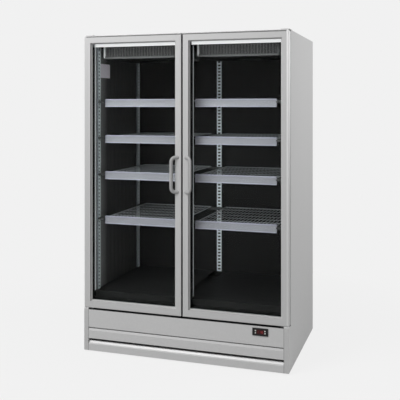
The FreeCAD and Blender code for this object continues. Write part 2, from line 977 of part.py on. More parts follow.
def bevelled_profile(bottom, top, bevel, slope):
    """A face whose head leans back before it meets its flange."""
    return [
        ("0", bottom),
        ("trim_flange", bottom),
        ("trim_flange", f"{bottom} + sheet"),
        ("sheet", f"{bottom} + sheet"),
        ("sheet", f"{top} - {bevel} - sheet / 2"),
        (f"{slope} + sheet / 2", f"{top} - sheet"),
        (f"{slope} + trim_flange", f"{top} - sheet"),
        (f"{slope} + trim_flange", top),
        (slope, top),
        ("0", f"{top} - {bevel}"),
    ]


def base_fascia():
    """The upper panel of the base with the cut-out for the controller."""
    panel = folded("fascia_panel", c_profile("fascia_bottom", "base_top"), "trim_half")
    opening = block(
        "fascia_opening",
        ("controller_x - housing_width / 2", "controller_x + housing_width / 2"),
        ("front", "front + sheet"),
        ("controller_z - housing_height / 2", "controller_z + housing_height / 2"),
    )
    return cut("base_fascia", panel, [opening])


def base_louvre():
    profile = bevelled_profile("louvre_bottom", "louvre_top", "louvre_bevel", "louvre_slope")
    return folded("base_louvre", profile, "trim_half")


def kick_plate():
    profile = bevelled_profile("floor_gap", "kick_top", "kick_bevel", "kick_slope")
    return folded("kick_plate", profile, "trim_half")


def base_chassis():
    """The machine tray: a floor on two hollow runners that the feet screw into."""
    y = ("front + chassis_inset", "grille_rear - sheet")
    floor_z = ("chassis_top - sheet", "chassis_top")
    floor = block("chassis_floor", ("-panel_half", "panel_half"), y, floor_z)
    low, high = "chassis_top - chassis_rail", "chassis_top - sheet"
    inner, outer = "panel_half - 2 * foot_inset", "panel_half"
    runner = block("chassis_runner", (inner, outer), y, (low, high))
    hollow_x = (f"{inner} + chassis_wall", f"{outer} - chassis_wall")
    hollow = block("chassis_hollow", hollow_x, y, (f"{low} + chassis_wall", high))
    right = cut("chassis_runner_right", runner, [hollow])
    left = mirrored("chassis_runner_left", right)
    tray = join("chassis_tray", [floor, right, left])
    holes = [
        flat_sided(f"foot_hole_{number}", 8, "foot_stud + pin_air", "chassis_wall", at)
        for number, at in enumerate(foot_places("chassis_top - chassis_rail"), 1)
    ]
    return cut("base_chassis", tray, holes)


def foot_places(z):
    """The four points where the feet stand."""
    x = "half - foot_inset"
    front_y = "front + chassis_inset + foot_inset / 2"
    rear_y = "grille_rear - foot_inset"
    return [(f"{sign}({x})", y, z) for y in (front_y, rear_y) for sign in ("-", "")]


def levelling_feet():
    """Twelve-sided feet with their studs in the chassis runners."""
    feet = []
    for number, at in enumerate(foot_places("0"), 1):
        base = flat_sided(f"foot_base_{number}", 12, "foot_radius", "floor_gap", at)
        stud = flat_sided(f"foot_stud_{number}", 8, "foot_stud", "chassis_top - sheet - pin_air", at)
        feet.append(join(f"foot_{number}", [base, stud]))
    return group("levelling_feet", feet)


def rear_grille():
    """The rear cover of the base with a row of air slots and a hole for the cable gland."""
    body = new_body("grille_plate")
    edge = rectangle(("0", "2 * panel_half"), ("floor_gap", "base_top"))
    pad(body, outline(body, "grille_edge", "XZ_Plane", edge), "sheet", reverse=True)
    start = "panel_half - (grille_pitch * (grille_slots - 1) + grille_slot_width) / 2"
    low = "(base_top + floor_gap - grille_slot_height) / 2"
    corners = rectangle((start, f"{start} + grille_slot_width"), (low, f"{low} + grille_slot_height"))
    slot = pocket(body, outline(body, "grille_slot", "XZ_Plane", corners), "sheet")
    row_of(body, slot, "X_Axis", "grille_slots", "grille_pitch * (grille_slots - 1)")
    place(body, "-panel_half", "grille_rear - sheet")
    at = ("gland_x", "grille_rear - sheet", "gland_z")
    hole = flat_sided("gland_hole", 12, "gland_radius", "sheet", at, "y")
    return cut("rear_grille", body, [hole])


def power_inlet_gland():
    """A flanged bush for the supply cable, behind the line of the rear panel."""
    start = ("gland_x", "grille_rear - gland_length", "gland_z")
    collar = flat_sided("gland_collar", 12, "gland_radius - pin_air", "gland_length", start, "y")
    rim_at = ("gland_x", "grille_rear", "gland_z")
    rim = flat_sided("gland_flange", 12, "gland_radius + gland_rim", "gland_thick", rim_at, "y")
    bore = rod("gland_hollow", "gland_bore", "gland_length + gland_thick", start, "y")
    return cut("power_inlet_gland", join("gland_bush", [collar, rim]), [bore])


def compressor():
    """A domed steel pot on a foot plate, with a stub in front and one behind."""
    body = new_body("compressor_pot")
    plan = outline(body, "compressor_plan", "XY_Plane", polygon(16, "compressor_radius"))
    pot = pad(body, plan, "compressor_height")
    tall = size("compressor_height")
    soften(body, "Chamfer", pot, lambda at: near(at.z * (tall - at.z), 0), "compressor_round / 2")
    place(body, "compressor_x", "compressor_y", "chassis_top + compressor_foot")
    reach = "compressor_plate / 2"
    plate = block(
        "compressor_plate",
        (f"compressor_x - {reach}", f"compressor_x + {reach}"),
        (f"compressor_y - {reach}", f"compressor_y + {reach}"),
        ("chassis_top", "chassis_top + compressor_foot + sheet"),
    )
    stub_start = "compressor_y - compressor_radius - compressor_stub"
    stub_length = "2 * (compressor_radius + compressor_stub)"
    stub_at = ("compressor_x", stub_start, "pipe_z")
    stub = flat_sided("compressor_stub", 8, "pipe_radius", stub_length, stub_at, "y")
    return join("compressor", [body, plate, stub])


def condenser_coil():
    """A block with a row of fins towards the front."""
    body = new_body("condenser_coil")
    corners = rectangle(("0", "condenser_width"), ("0", "condenser_depth"))
    pad(body, outline(body, "condenser_plan", "XY_Plane", corners), "condenser_height")
    pitch = "condenser_width / condenser_fins"
    groove_x = ("condenser_fin / 2", f"{pitch} - condenser_fin / 2")
    groove = rectangle(groove_x, ("0", "condenser_groove"))
    gap = outline(body, "condenser_gap", "XY_Plane", groove)
    first = pocket(body, gap, "condenser_height", reverse=True)
    row_of(body, first, "X_Axis", "condenser_fins", f"{pitch} * (condenser_fins - 1)")
    return place(body, "-condenser_left", "condenser_start", "chassis_top")


def condenser_shroud():
    """An open box behind the coil with an opening for the fan."""
    x = ("-condenser_left", "-condenser_left + condenser_width")
    z = ("chassis_top", "chassis_top + condenser_height")
    wall = "shroud_wall"
    outer = block("shroud_outer", x, ("shroud_start", "shroud_end"), z)
    inner = block(
        "shroud_inner",
        (f"{x[0]} + {wall}", f"{x[1]} - {wall}"),
        ("shroud_start", f"shroud_end - {wall}"),
        (f"{z[0]} + {wall}", f"{z[1]} - {wall}"),
    )
    at = ("condenser_middle", "shroud_start", "condenser_fan_z")
    clear = "condenser_fan_radius + fan_tip_air"
    opening = flat_sided("shroud_opening", 24, clear, "shroud_depth", at, "y")
    return cut("condenser_shroud", outer, [inner, opening])


def condenser_fan():
    body = fan("condenser_fan", "condenser_fan_radius")
    return place(body, "condenser_middle", "shroud_end - fan_thick", "condenser_fan_z", ALONG["y"])


def condenser_motor():
    """The condenser fan's motor on a bar that stands off the shroud."""
    x, z = "condenser_middle", "condenser_fan_z"
    start = "shroud_end + motor_rise"
    case = flat_sided("condenser_motor_case", 16, "motor_radius", "motor_length", (x, start, z), "y")
    shaft_start = "shroud_end - fan_thick"
    shaft_length = f"{start} - ({shaft_start})"
    shaft = flat_sided("condenser_shaft", 8, "shaft_radius", shaft_length, (x, shaft_start, z), "y")
    reach = "condenser_width / 2"
    bar_z = (f"{z} - motor_bar / 2", f"{z} + motor_bar / 2")
    bar_y = (start, f"{start} + shroud_wall")
    pieces = [case, shaft, block("motor_bar", (f"{x} - {reach}", f"{x} + {reach}"), bar_y, bar_z)]
    leg_y = ("shroud_end", start)
    for name, low in (("left", f"{x} - {reach}"), ("right", f"{x} + {reach} - shroud_wall")):
        pieces.append(block("motor_leg_" + name, (low, f"{low} + shroud_wall"), leg_y, bar_z))
    return join("condenser_motor", pieces)


def hold_path(sketch, runs):
    """Hold straight runs at formulas and join each to the next with a tangent arc.

    The sketch has its lines first and then its arcs, drawn in the same order."""
    for number, (start, end) in enumerate(runs):
        hold_point(sketch, number, 1, *start)
        hold_point(sketch, number, 2, *end)
    for number in range(len(runs) - 1):
        arc = len(runs) + number
        before, after = arc_ends(sketch, arc, number)
        sketch.addConstraint(Sketcher.Constraint("Tangent", arc, before, number, 2))
        sketch.addConstraint(Sketcher.Constraint("Coincident", arc, after, number + 1, 1))


def arc_ends(sketch, arc, line):
    """Which end of an arc meets the line before it, and which the line after."""
    start = sketch.Geometry[arc].StartPoint
    apart = start.distanceToPoint(sketch.Geometry[line].EndPoint)
    return (1, 2) if near(apart, 0) else (2, 1)


def swept(body, section, path):
    """A bar of one section along a path that starts square to it."""
    feature = body.newObject("PartDesign::AdditivePipe", path.Name + "_sweep")
    feature.Profile = section
    feature.Spine = path
    return body


def elbow(name, run, rise):
    """A pipe that runs along local X and bends once towards local Y."""
    body = new_body(name)
    path = new_sketch(body, name + "_path", "XY_Plane")
    bend = DRAWN / 3
    straight = DRAWN - bend
    path.addGeometry(Part.LineSegment(Vector(), Vector(straight, 0, 0)))
    path.addGeometry(Part.LineSegment(Vector(DRAWN, bend, 0), Vector(DRAWN, DRAWN, 0)))
    corner = Part.Circle(Vector(straight, bend, 0), UP, bend)
    path.addGeometry(Part.ArcOfCircle(corner, -QUARTER_TURN, 0))
    runs = [
        (("0", "0"), (f"{run} - pipe_bend", "0")),
        ((run, "pipe_bend"), (run, rise)),
    ]
    hold_path(path, runs)
    section = outline(body, name + "_section", "YZ_Plane", polygon(8, "pipe_radius"))
    return swept(body, section, path)


def refrigerant_pipes():
    """The hot pipe to the condenser and the cold pipe up into the insulated box."""
    start_x = "-condenser_left + condenser_width"
    start_y = "condenser_start + condenser_depth / 2"
    stub = "compressor_radius + compressor_stub"
    hot = elbow("pipe_hot", f"compressor_x - ({start_x})", f"compressor_y - ({stub}) - ({start_y})")
    place(hot, start_x, start_y, "pipe_z")
    cold = elbow("pipe_cold", "pipe_run", "box_bottom - pipe_z")
    upright = Rotation(Vector(1, 1, 1), 120)
    place(cold, "compressor_x", f"compressor_y + {stub}", "pipe_z", upright)
    return group("refrigerant_pipes", [hot, cold])


def drain_pan():
    """A shallow tray for melt water on the machine floor."""
    x = ("pan_x - pan_width / 2", "pan_x + pan_width / 2")
    y = ("grille_rear - pan_rear - pan_depth", "grille_rear - pan_rear")
    z = ("chassis_top", "chassis_top + pan_height")
    outer = block("pan_outer", x, y, z)
    inner = block(
        "pan_inner",
        (f"{x[0]} + pan_wall", f"{x[1]} - pan_wall"),
        (f"{y[0]} + pan_wall", f"{y[1]} - pan_wall"),
        (f"{z[0]} + pan_wall", z[1]),
    )
    return cut("drain_pan", outer, [inner])


# Controller in the fascia

def centred(middle, span):
    """A (low, high) pair of formulas round a middle."""
    return (f"{middle} - ({span}) / 2", f"{middle} + ({span}) / 2")


KEYS = {
    "upper_left": (-1, 1),
    "lower_left": (-1, -1),
    "upper_right": (1, 1),
    "lower_right": (1, -1),
}


def key_place(corner):
    """The middle of one key."""
    across, up = KEYS[corner]
    return f"controller_x + {across} * key_x", f"controller_z + {up} * key_z"


def controller_bezel():
    """A flanged housing with a recess for the window and a guide for each key."""
    def slab(name, width, height, y):
        return block(name, centred("controller_x", width), y, centred("controller_z", height))
    flange = slab("bezel_flange", "bezel_width", "bezel_height", ("controller_face", "front"))
    deep = "front + housing_depth"
    case = slab("bezel_case", "housing_width", "housing_height", ("front", deep))
    wall = "2 * housing_wall"
    hollow_y = ("front", f"{deep} - housing_wall")
    hollow = slab("bezel_hollow", f"housing_width - {wall}", f"housing_height - {wall}", hollow_y)
    recess_y = ("controller_face", "controller_face + window_thick")
    tools = [hollow, slab("bezel_recess", "window_width", "window_height", recess_y)]
    for corner in KEYS:
        x, z = key_place(corner)
        hole = "key_size + 2 * key_air"
        y = ("controller_face", "front")
        tools.append(block("guide_" + corner, centred(x, hole), y, centred(z, hole)))
    return cut("controller_bezel", join("bezel_body", [flange, case]), tools)


def controller_window():
    x = centred("controller_x", "window_width")
    y = ("controller_face", "controller_face + window_thick")
    return block("controller_window", x, y, centred("controller_z", "window_height"))


def controller_key(corner):
    """A square key with a flange behind the bezel that stops it coming out."""
    x, z = key_place(corner)
    y = ("controller_face - key_stand", "front")
    stem = block("key_stem_" + corner, centred(x, "key_size"), y, centred(z, "key_size"))
    rim = "key_size + 2 * key_rim"
    rim_y = ("front", "front + key_flange")
    stop = block("key_stop_" + corner, centred(x, rim), rim_y, centred(z, rim))
    return join("key_" + corner, [stem, stop])


# Doors, drawn for the left and mirrored to the right

def hinge_brackets():
    """Plates above and below each door with the pins that it turns on."""
    x = ("-panel_half", "-panel_half + hinge_width")
    y = ("pivot_y - bush_radius - bush_rim", "case_front + hinge_tail")
    top_plate = block("hinge_top_plate", x, y, ("roof_top", "height"))
    at = ("pivot_x", "pivot_y")
    top_pin = rod("hinge_top_pin", "pin_radius", "pin_length", (*at, "roof_top - pin_length"))
    top = join("hinge_top_left", [top_plate, top_pin])
    low_plate = block("hinge_low_plate", x, y, ("base_top", "box_bottom"))
    lift = "door_bottom - bush_proud - box_bottom"
    collar = flat_sided("hinge_collar", 12, "bush_radius", lift, (*at, "box_bottom"))
    low_pin = rod("hinge_low_pin", "pin_radius", f"{lift} + pin_length", (*at, "box_bottom"))
    low = join("hinge_low_left", [low_plate, collar, low_pin])
    right = [mirrored("hinge_top_right", top), mirrored("hinge_low_right", low)]
    return group("hinge_brackets", [top, low] + right)


def door_ring():
    """The whole frame of the left door: rounded outside, bevelled opening, rebate for the glass."""
    body = new_body("door_ring")
    edge = rectangle(("0", "door_width"), ("0", "door_height"))
    slab = pad(body, outline(body, "door_edge", "XZ_Plane", edge), "door_depth", reverse=True)
    doc.recompute()
    wide = slab.Shape.BoundBox.XMax
    tall = slab.Shape.BoundBox.ZMax
    hinge_side = soften(
        body, "Fillet", slab, lambda at: near(at.y, 0) and near(at.x, 0), "edge_round"
    )
    soften(
        body, "Fillet", hinge_side, lambda at: near(at.y, 0) and near(at.x, wide), "meeting_round"
    )
    sight = rectangle(
        ("stile_face + bevel", "door_width - stile_face - bevel"),
        ("bottom_rail_face + bevel", "door_height - top_rail_face - bevel"),
    )
    opening = pocket(body, outline(body, "door_sight", "XZ_Plane", sight), "door_depth")
    stile = size("stile_face")

    def round_opening(at):
        inside = stile < at.x < wide - stile and TOUCH < at.z < tall - TOUCH
        return near(at.y, 0) and inside

    soften(body, "Chamfer", opening, round_opening, "bevel")
    seat = rectangle(
        ("stile_sight - glass_bite", "door_width - stile_sight + glass_bite"),
        ("bottom_sight - glass_bite", "door_height - top_sight + glass_bite"),
    )
    rebate = outline(body, "door_rebate", "XZ_Plane", seat, "-glass_inset")
    pocket(body, rebate, "door_depth - glass_inset")
    return place(body, "-half", "front", "door_bottom")


def door_frame():
    """Two full-height stiles, bored for the hinge bushes, with two rails between them."""
    at = ("pivot_x", "pivot_y")
    bore = "bush_radius + pin_air"
    depth = "pin_length + bush_proud"
    holes = [
        rod("bush_seat_low", bore, depth, (*at, "door_bottom")),
        rod("bush_seat_top", bore, depth, (*at, f"door_top - ({depth})")),
    ]
    ring = cut("door_ring_bored", door_ring(), holes)
    y = ("front", "door_rear")
    whole = ("door_bottom", "door_top")
    hinge_x = ("-half", "-half + stile_sight")
    free_x = ("-meeting_gap / 2 - stile_sight", "-meeting_gap / 2")
    rail_x = (hinge_x[1], free_x[0])
    spans = {
        "hinge_stile": (hinge_x, whole),
        "meeting_stile": (free_x, whole),
        "bottom_rail": (rail_x, ("door_bottom", "door_bottom + bottom_sight")),
        "top_rail": (rail_x, ("door_top - top_sight", "door_top")),
    }
    members = []
    for name, (x, z) in spans.items():
        members.append(keep(name, ring, block(name + "_span", x, y, z)))
    return group("door_left_frame", members)


def door_glass():
    """The double glazing: two panes, the bar that spaces them and the seal round its edge."""
    x = ("glass_low_x", "glass_high_x")
    z = ("glass_low_z", "glass_high_z")
    gap_front = "glass_front + pane"
    gap_rear = "glass_front + pane + pane_gap"
    outer = block("pane_outer", x, ("glass_front", gap_front), z)
    inner = block("pane_inner", x, (gap_rear, "bead_front"), z)
    gap = (gap_front, gap_rear)
    seal = window("door_left_edge_seal", x, gap, z, "edge_seal")
    bar_x = (f"{x[0]} + edge_seal", f"{x[1]} - edge_seal")
    bar_z = (f"{z[0]} + edge_seal", f"{z[1]} - edge_seal")
    bar = window("door_left_spacer", bar_x, gap, bar_z, "spacer_bar")
    return group("door_left_panes", [outer, inner]), seal, bar


def glazing_bead():
    """The strip behind the glass that holds it in the frame."""
    x = ("glass_low_x - glass_air", "glass_high_x + glass_air")
    z = ("glass_low_z - glass_air", "glass_high_z + glass_air")
    return window("door_left_bead", x, ("bead_front", "door_rear"), z, "glass_bite")


def door_gasket():
    x = ("-half + gasket_inset", "-meeting_gap / 2 - gasket_meeting")
    z = ("door_bottom + gasket_inset", "door_top - gasket_inset")
    y = ("door_rear", "case_front - gasket_air")
    return window("door_left_gasket", x, y, z, "gasket_width")


def door_bushes():
    """Bushes in the top and bottom of the hinge stile, each a little proud of it."""
    inner = "pin_radius + pin_air"
    corners = rectangle((inner, "bush_radius"), ("-bush_proud", "pin_length"))
    at = ("pivot_x", "pivot_y")
    low = place(turned("bush_low", corners), *at, "door_bottom")
    upside_down = Rotation(Vector(1, 0, 0), 180)
    top = place(turned("bush_top", corners), *at, "door_top", upside_down)
    return group("door_left_bushes", [low, top])


def door_handle():
    """A bow of eight-sided bar whose feet rise from the stile and lean out over the glass."""
    body = new_body("handle_bow")
    lift = "handle_reach - handle_radius"
    out = f"hypot(handle_offset; {lift})"
    sink = "2 * handle_radius"
    tall = "handle_length - 2 * handle_radius"
    reach_start = f"{out} - handle_bend"
    path = new_sketch(body, "handle_path", "XZ_Plane")
    bend = DRAWN / 5
    reach = 2 * bend
    length = 2 * DRAWN
    points = [
        (Vector(-bend, 0, 0), Vector(reach - bend, 0, 0)),
        (Vector(reach, bend, 0), Vector(reach, length - bend, 0)),
        (Vector(reach - bend, length, 0), Vector(-bend, length, 0)),
    ]
    for start, end in points:
        path.addGeometry(Part.LineSegment(start, end))
    for centre, first in ((bend, -QUARTER_TURN), (length - bend, 0)):
        corner = Part.Circle(Vector(reach - bend, centre, 0), UP, bend)
        path.addGeometry(Part.ArcOfCircle(corner, first, first + QUARTER_TURN))
    runs = [
        ((f"-{sink}", "0"), (reach_start, "0")),
        ((out, "handle_bend"), (out, f"{tall} - handle_bend")),
        ((reach_start, tall), (f"-{sink}", tall)),
    ]
    hold_path(path, runs)
    wide, flat = "handle_radius", "handle_flat / 2"
    quarter = [(wide, flat), (flat, wide)]
    corners = quarter + [(f"-{x}", y) for x, y in reversed(quarter)]
    corners += [(f"-{x}", f"-{y}") for x, y in quarter]
    corners += [(x, f"-{y}") for x, y in reversed(quarter)]
    section = outline(body, "handle_section", "YZ_Plane", corners, f"-{sink}")
    lean = f"atan(({lift}) / handle_offset)"
    bind(section, "AttachmentOffset.Rotation.Angle", f"45 deg - {lean}")
    swept(body, section, path)
    foot_x = "-meeting_gap / 2 - handle_foot"
    place(body, foot_x, "front", "handle_bottom + handle_radius", Rotation(UP, 180))
    bind(body, "Placement.Rotation.Angle", f"180 deg + {lean}")
    reach_x = (f"{foot_x} - handle_offset", "0")
    behind = block(
        "handle_behind",
        reach_x,
        ("front", f"front + {sink} * 2"),
        ("handle_bottom - handle_radius", "handle_bottom + handle_length + handle_radius"),
    )
    return cut("door_left_handle", body, [behind])


def build():
    """Every node of the refrigerator by name."""
    pieces = [side_panel(side) for side in SIDES]
    pieces += [base_posts(), roof_panel(), rear_panel(), insulation_foam(), inner_liner()]
    pieces += [front_frame(), centre_mullion(), light_diffuser(), light_housing()]
    pieces += [shelf_standards(), price_rails(), shelf_clips(), deck_panels()]
    pieces += [shelf(number) for number in range(1, len(SHELF_LEVELS) + 1)]
    pieces += [evaporator_cover(), evaporator_coils(), fan_motors()]
    pieces += [evaporator_fan(side) for side in SIDES]
    pieces += [base_chassis(), levelling_feet(), base_fascia(), base_louvre(), kick_plate()]
    pieces += [rear_grille(), power_inlet_gland(), compressor(), condenser_coil()]
    pieces += [condenser_shroud(), condenser_fan(), refrigerant_pipes(), drain_pan()]
    pieces += [controller_bezel(), controller_window()]
    pieces += [controller_key(corner) for corner in KEYS]
    pieces.append(hinge_brackets())
    left = [door_frame(), *door_glass(), glazing_bead(), door_gasket(), door_bushes(), door_handle()]
    right = [mirrored(piece.Name.replace("left", "right"), piece) for piece in left]
    return pieces + left + right


def check(pieces):
    """Stop if any object failed or any node has no sound solid."""
    doc.recompute()
    for item in doc.Objects:
        if {"Invalid", "Error"} & set(item.State):
            raise RuntimeError(f"{item.Name} did not build: {item.State}")
    for piece in pieces:
        shape = piece.Shape
        if shape.isNull() or not shape.isValid() or not shape.Solids:
            raise RuntimeError(f"{piece.Name} has no sound solid")


def export(pieces):
    """Write each node to its own file."""
    os.makedirs("parts", exist_ok=True)
    for piece in pieces:
        piece.Label = piece.Name
        piece.Shape.exportStep(f"parts/{piece.Label}.step")
        box = piece.Shape.BoundBox
        extent = f"{box.XLength:.1f} x {box.YLength:.1f} x {box.ZLength:.1f}"
        print(f"{piece.Label}: {len(piece.Shape.Solids)} solids, {extent}")


nodes = build()
check(nodes)
export(nodes)
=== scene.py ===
# %% [markdown]
# # An upright display refrigerator, dressed for its portrait
#
# The solids come from the CAD model, already in place and in metres: X to the right, Y to the back,
# Z up. This lesson gives each of them a finish, swaps the plain ones for finer meshes, and lights
# the result.

# %% Load the frame
import math

import bmesh
import bpy
from mathutils import Matrix, Vector


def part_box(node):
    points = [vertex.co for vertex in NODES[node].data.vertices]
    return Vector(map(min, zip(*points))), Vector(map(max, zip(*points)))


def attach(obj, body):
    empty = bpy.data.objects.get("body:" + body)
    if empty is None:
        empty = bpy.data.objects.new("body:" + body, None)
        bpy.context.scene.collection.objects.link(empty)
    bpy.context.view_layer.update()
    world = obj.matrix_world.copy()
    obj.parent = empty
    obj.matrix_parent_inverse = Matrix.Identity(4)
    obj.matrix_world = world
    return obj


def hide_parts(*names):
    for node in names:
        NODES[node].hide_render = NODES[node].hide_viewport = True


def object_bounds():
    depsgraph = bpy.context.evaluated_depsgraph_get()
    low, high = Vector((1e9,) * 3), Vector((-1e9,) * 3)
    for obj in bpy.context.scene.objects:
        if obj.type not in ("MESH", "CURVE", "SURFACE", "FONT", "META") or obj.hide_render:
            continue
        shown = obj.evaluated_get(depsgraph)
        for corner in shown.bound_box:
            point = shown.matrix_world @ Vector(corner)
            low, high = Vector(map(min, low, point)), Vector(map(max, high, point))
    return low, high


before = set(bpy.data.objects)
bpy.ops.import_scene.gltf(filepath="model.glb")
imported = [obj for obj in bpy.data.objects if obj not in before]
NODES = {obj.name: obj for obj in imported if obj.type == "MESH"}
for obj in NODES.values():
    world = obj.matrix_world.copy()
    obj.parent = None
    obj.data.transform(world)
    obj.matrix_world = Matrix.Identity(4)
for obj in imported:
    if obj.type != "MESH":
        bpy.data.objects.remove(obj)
CAD_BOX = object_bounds()
SCENE = bpy.context.scene
MM = 0.001
print(len(NODES), "nodes, box", [tuple(round(v, 3) for v in corner) for corner in CAD_BOX])

# %% [markdown]
# ## The camera
#
# The picture was taken from the right with the camera held level, so upright edges stay upright.
# The lens is therefore shifted down instead of tilted, as a shift lens does.

# %% Camera
PHOTO_WIDTH = 400
SENSOR_WIDTH = 36
FOCAL_PIXELS = 702.1
HORIZON_ROW = 105.3
EYE = Vector((1.4207, -4.4209, 1.5552))
EYE_TURN = math.radians(18.055)

lens = bpy.data.cameras.new("level_camera")
lens.sensor_width = SENSOR_WIDTH
lens.lens = SENSOR_WIDTH * FOCAL_PIXELS / PHOTO_WIDTH
lens.shift_y = (HORIZON_ROW - PHOTO_WIDTH / 2) / PHOTO_WIDTH
camera = bpy.data.objects.new("level_camera", lens)
camera.location = EYE
camera.rotation_euler = (math.pi / 2, 0, EYE_TURN)
SCENE.collection.objects.link(camera)
SCENE.camera = camera
print("lens", round(lens.lens, 2), "mm, shift", round(lens.shift_y, 3))

# %% [markdown]
# ## Small tools for materials
#
# Every finish below is a node tree, so short helpers save typing: two add a node and fill its
# sockets, one makes a material with its main shader, and the rest shape patterns. Colours are
# written as 0 to 255 values and turned into the linear light that shaders use.

# %% Colours and nodes


def tone(value):
    """A display colour, or a grey given as one number, as linear light with full alpha."""
    shares = [level / 255 for level in (value if isinstance(value, tuple) else (value,) * 3)]
    light = [s / 12.92 if s <= 0.04045 else ((s + 0.055) / 1.055) ** 2.4 for s in shares]
    return (*light, 1.0)


def plug(tree, node, *first, **named):
    """Fill a node's sockets, in order or by name; another node links its first output."""
    pairs = list(zip(node.inputs, first))
    pairs += [(node.inputs[name.replace("_", " ")], value) for name, value in named.items()]
    for socket, value in pairs:
        if isinstance(value, bpy.types.Node):
            value = value.outputs[0]
        if isinstance(value, bpy.types.NodeSocket):
            tree.links.new(value, socket)
        else:
            socket.default_value = value
    return node


def add(tree, kind, *first, **named):
    """A new node with some sockets filled."""
    return plug(tree, tree.nodes.new("ShaderNode" + kind), *first, **named)


def new_material(name):
    """A new material, its nodes and its Principled shader."""
    material = bpy.data.materials.new(name)
    material.use_nodes = True
    return material, material.node_tree, material.node_tree.nodes["Principled BSDF"]


print("mid grey is", round(tone(128)[0], 3), "of linear light")

# %% Places and mixtures
COLOUR_A, COLOUR_B, COLOUR_OUT = 6, 7, 2


def coordinates(tree, stretch=(1, 1, 1)):
    """Places on the piece in metres, stretched so that a pattern can run along one axis."""
    place = add(tree, "TexCoord").outputs["Object"]
    return add(tree, "Mapping", Vector=place, Scale=stretch)


def spread(tree, value, low, high):
    """A 0 to 1 pattern moved into a range."""
    return add(tree, "MapRange", Value=value, To_Min=low, To_Max=high)


def blend(tree, share, first, second):
    """Two colours mixed by a pattern."""
    node = add(tree, "Mix", share)
    node.data_type = "RGBA"
    node.inputs[COLOUR_A].default_value = first
    node.inputs[COLOUR_B].default_value = second
    return node.outputs[COLOUR_OUT]


print("pattern helpers ready")

# %% [markdown]
# ## One recipe for many finishes
#
# Paint, plastic, plated steel and rubber differ in numbers more than in kind: a pattern moves the
# colour between two tones and the roughness between two values, and a fine relief breaks up the
# highlight. Four patterns are enough: clouds for paint and mouldings, cells for zinc crystals and
# foam, bands for fins, and a fade along one axis for wear that is strongest at one end.

# %% Four patterns


def clouds(tree, place, scale):
    """Soft blotches."""
    return add(tree, "TexNoise", Vector=place, Scale=scale, Detail=3.0)


def cells(tree, place, scale):
    """Flat patches, each of one tone."""
    pattern = add(tree, "TexVoronoi", Vector=place, Scale=scale)
    return add(tree, "SeparateColor", Color=pattern.outputs["Color"])


def bands(tree, place, scale):
    """Even stripes."""
    return add(tree, "TexWave", Vector=place, Scale=scale / (2 * math.pi)).outputs["Fac"]


def fade(tree, place, run):
    """A change from 0 to 1 along an axis, between two places on it."""
    axis, start, end = run
    along = add(tree, "SeparateXYZ", Vector=place).outputs[axis]
    return add(tree, "MapRange", Value=along, From_Min=start, From_Max=end)


print("patterns ready")

# %% The shared recipe
FINISHES = {}
GLOSSY = 0.5


def finish(
    name, tones, rough, pattern, scale, grain, relief, stretch=(1, 1, 1), gloss=GLOSSY, **shader
):
    """A finish whose tone and roughness follow a pattern; the relief of its grain is in mm."""
    material, tree, surface = new_material(name)
    place = coordinates(tree, stretch)
    share = pattern(tree, place, scale)
    colour = blend(tree, share, *map(tone, tones))
    roughness = spread(tree, share, *rough)
    bumps = add(tree, "Bump", Height=clouds(tree, place, grain), Distance=relief * MM, Strength=0.5)
    plug(tree, surface, Base_Color=colour, Roughness=roughness, Normal=bumps)
    plug(tree, surface, Specular_IOR_Level=gloss, **shader)
    FINISHES[name] = material


print("recipe ready, usual gloss", GLOSSY)

# %% [markdown]
# ## Paint
#
# The cabinet is sheet steel under a satin grey powder coat, which dries with a faint orange peel.
# The door extrusions have the same colour in a smoother film, and the handles a darker one. The
# right door's hinge edge carries a painted highlight, paler towards the top, so its finishes fade
# along Z, and two folds of the base carry paler paint as a painted highlight. An image could hold
# such marks, but a pattern stays sharp at any distance.

# %% Grey powder coat
SATIN = 0.3


def clouded(table):
    """Grey finishes that follow clouds, one for each row of a table."""
    for name, (tones, rough, scale, grain, relief, gloss) in table.items():
        finish(name, tones, rough, clouds, scale, grain, relief, gloss=gloss)


clouded({
    "cabinet_paint": ((186, 196), (0.42, 0.52), 90, 260, 0.4, SATIN),
    "base_paint": ((196, 204), (0.42, 0.52), 90, 260, 0.4, SATIN),
    "door_paint": ((188, 196), (0.38, 0.48), 110, 320, 0.3, SATIN),
    "handle_paint": ((164, 172), (0.36, 0.46), 110, 320, 0.2, SATIN),
    # paler copies of the paint, as painted highlights on folds and ledges of the base
    "bright_edge": ((224, 232), (0.3, 0.4), 60, 320, 0.2, GLOSSY),
    "soft_edge": ((200, 208), (0.36, 0.46), 60, 320, 0.2, GLOSSY),
})
# painted highlight on the right door's hinge edge and side, paler towards the top
finish("worn_edge", (206, 236), (0.36, 0.42), fade, ("Z", 0.6, 1.9), 320, 0.2, gloss=SATIN)
finish("hinge_edge", (166, 246), (0.4, 0.34), fade, ("Z", 1.0, 1.8), 320, 0.2, gloss=SATIN)
print("paint:", sorted(FINISHES))
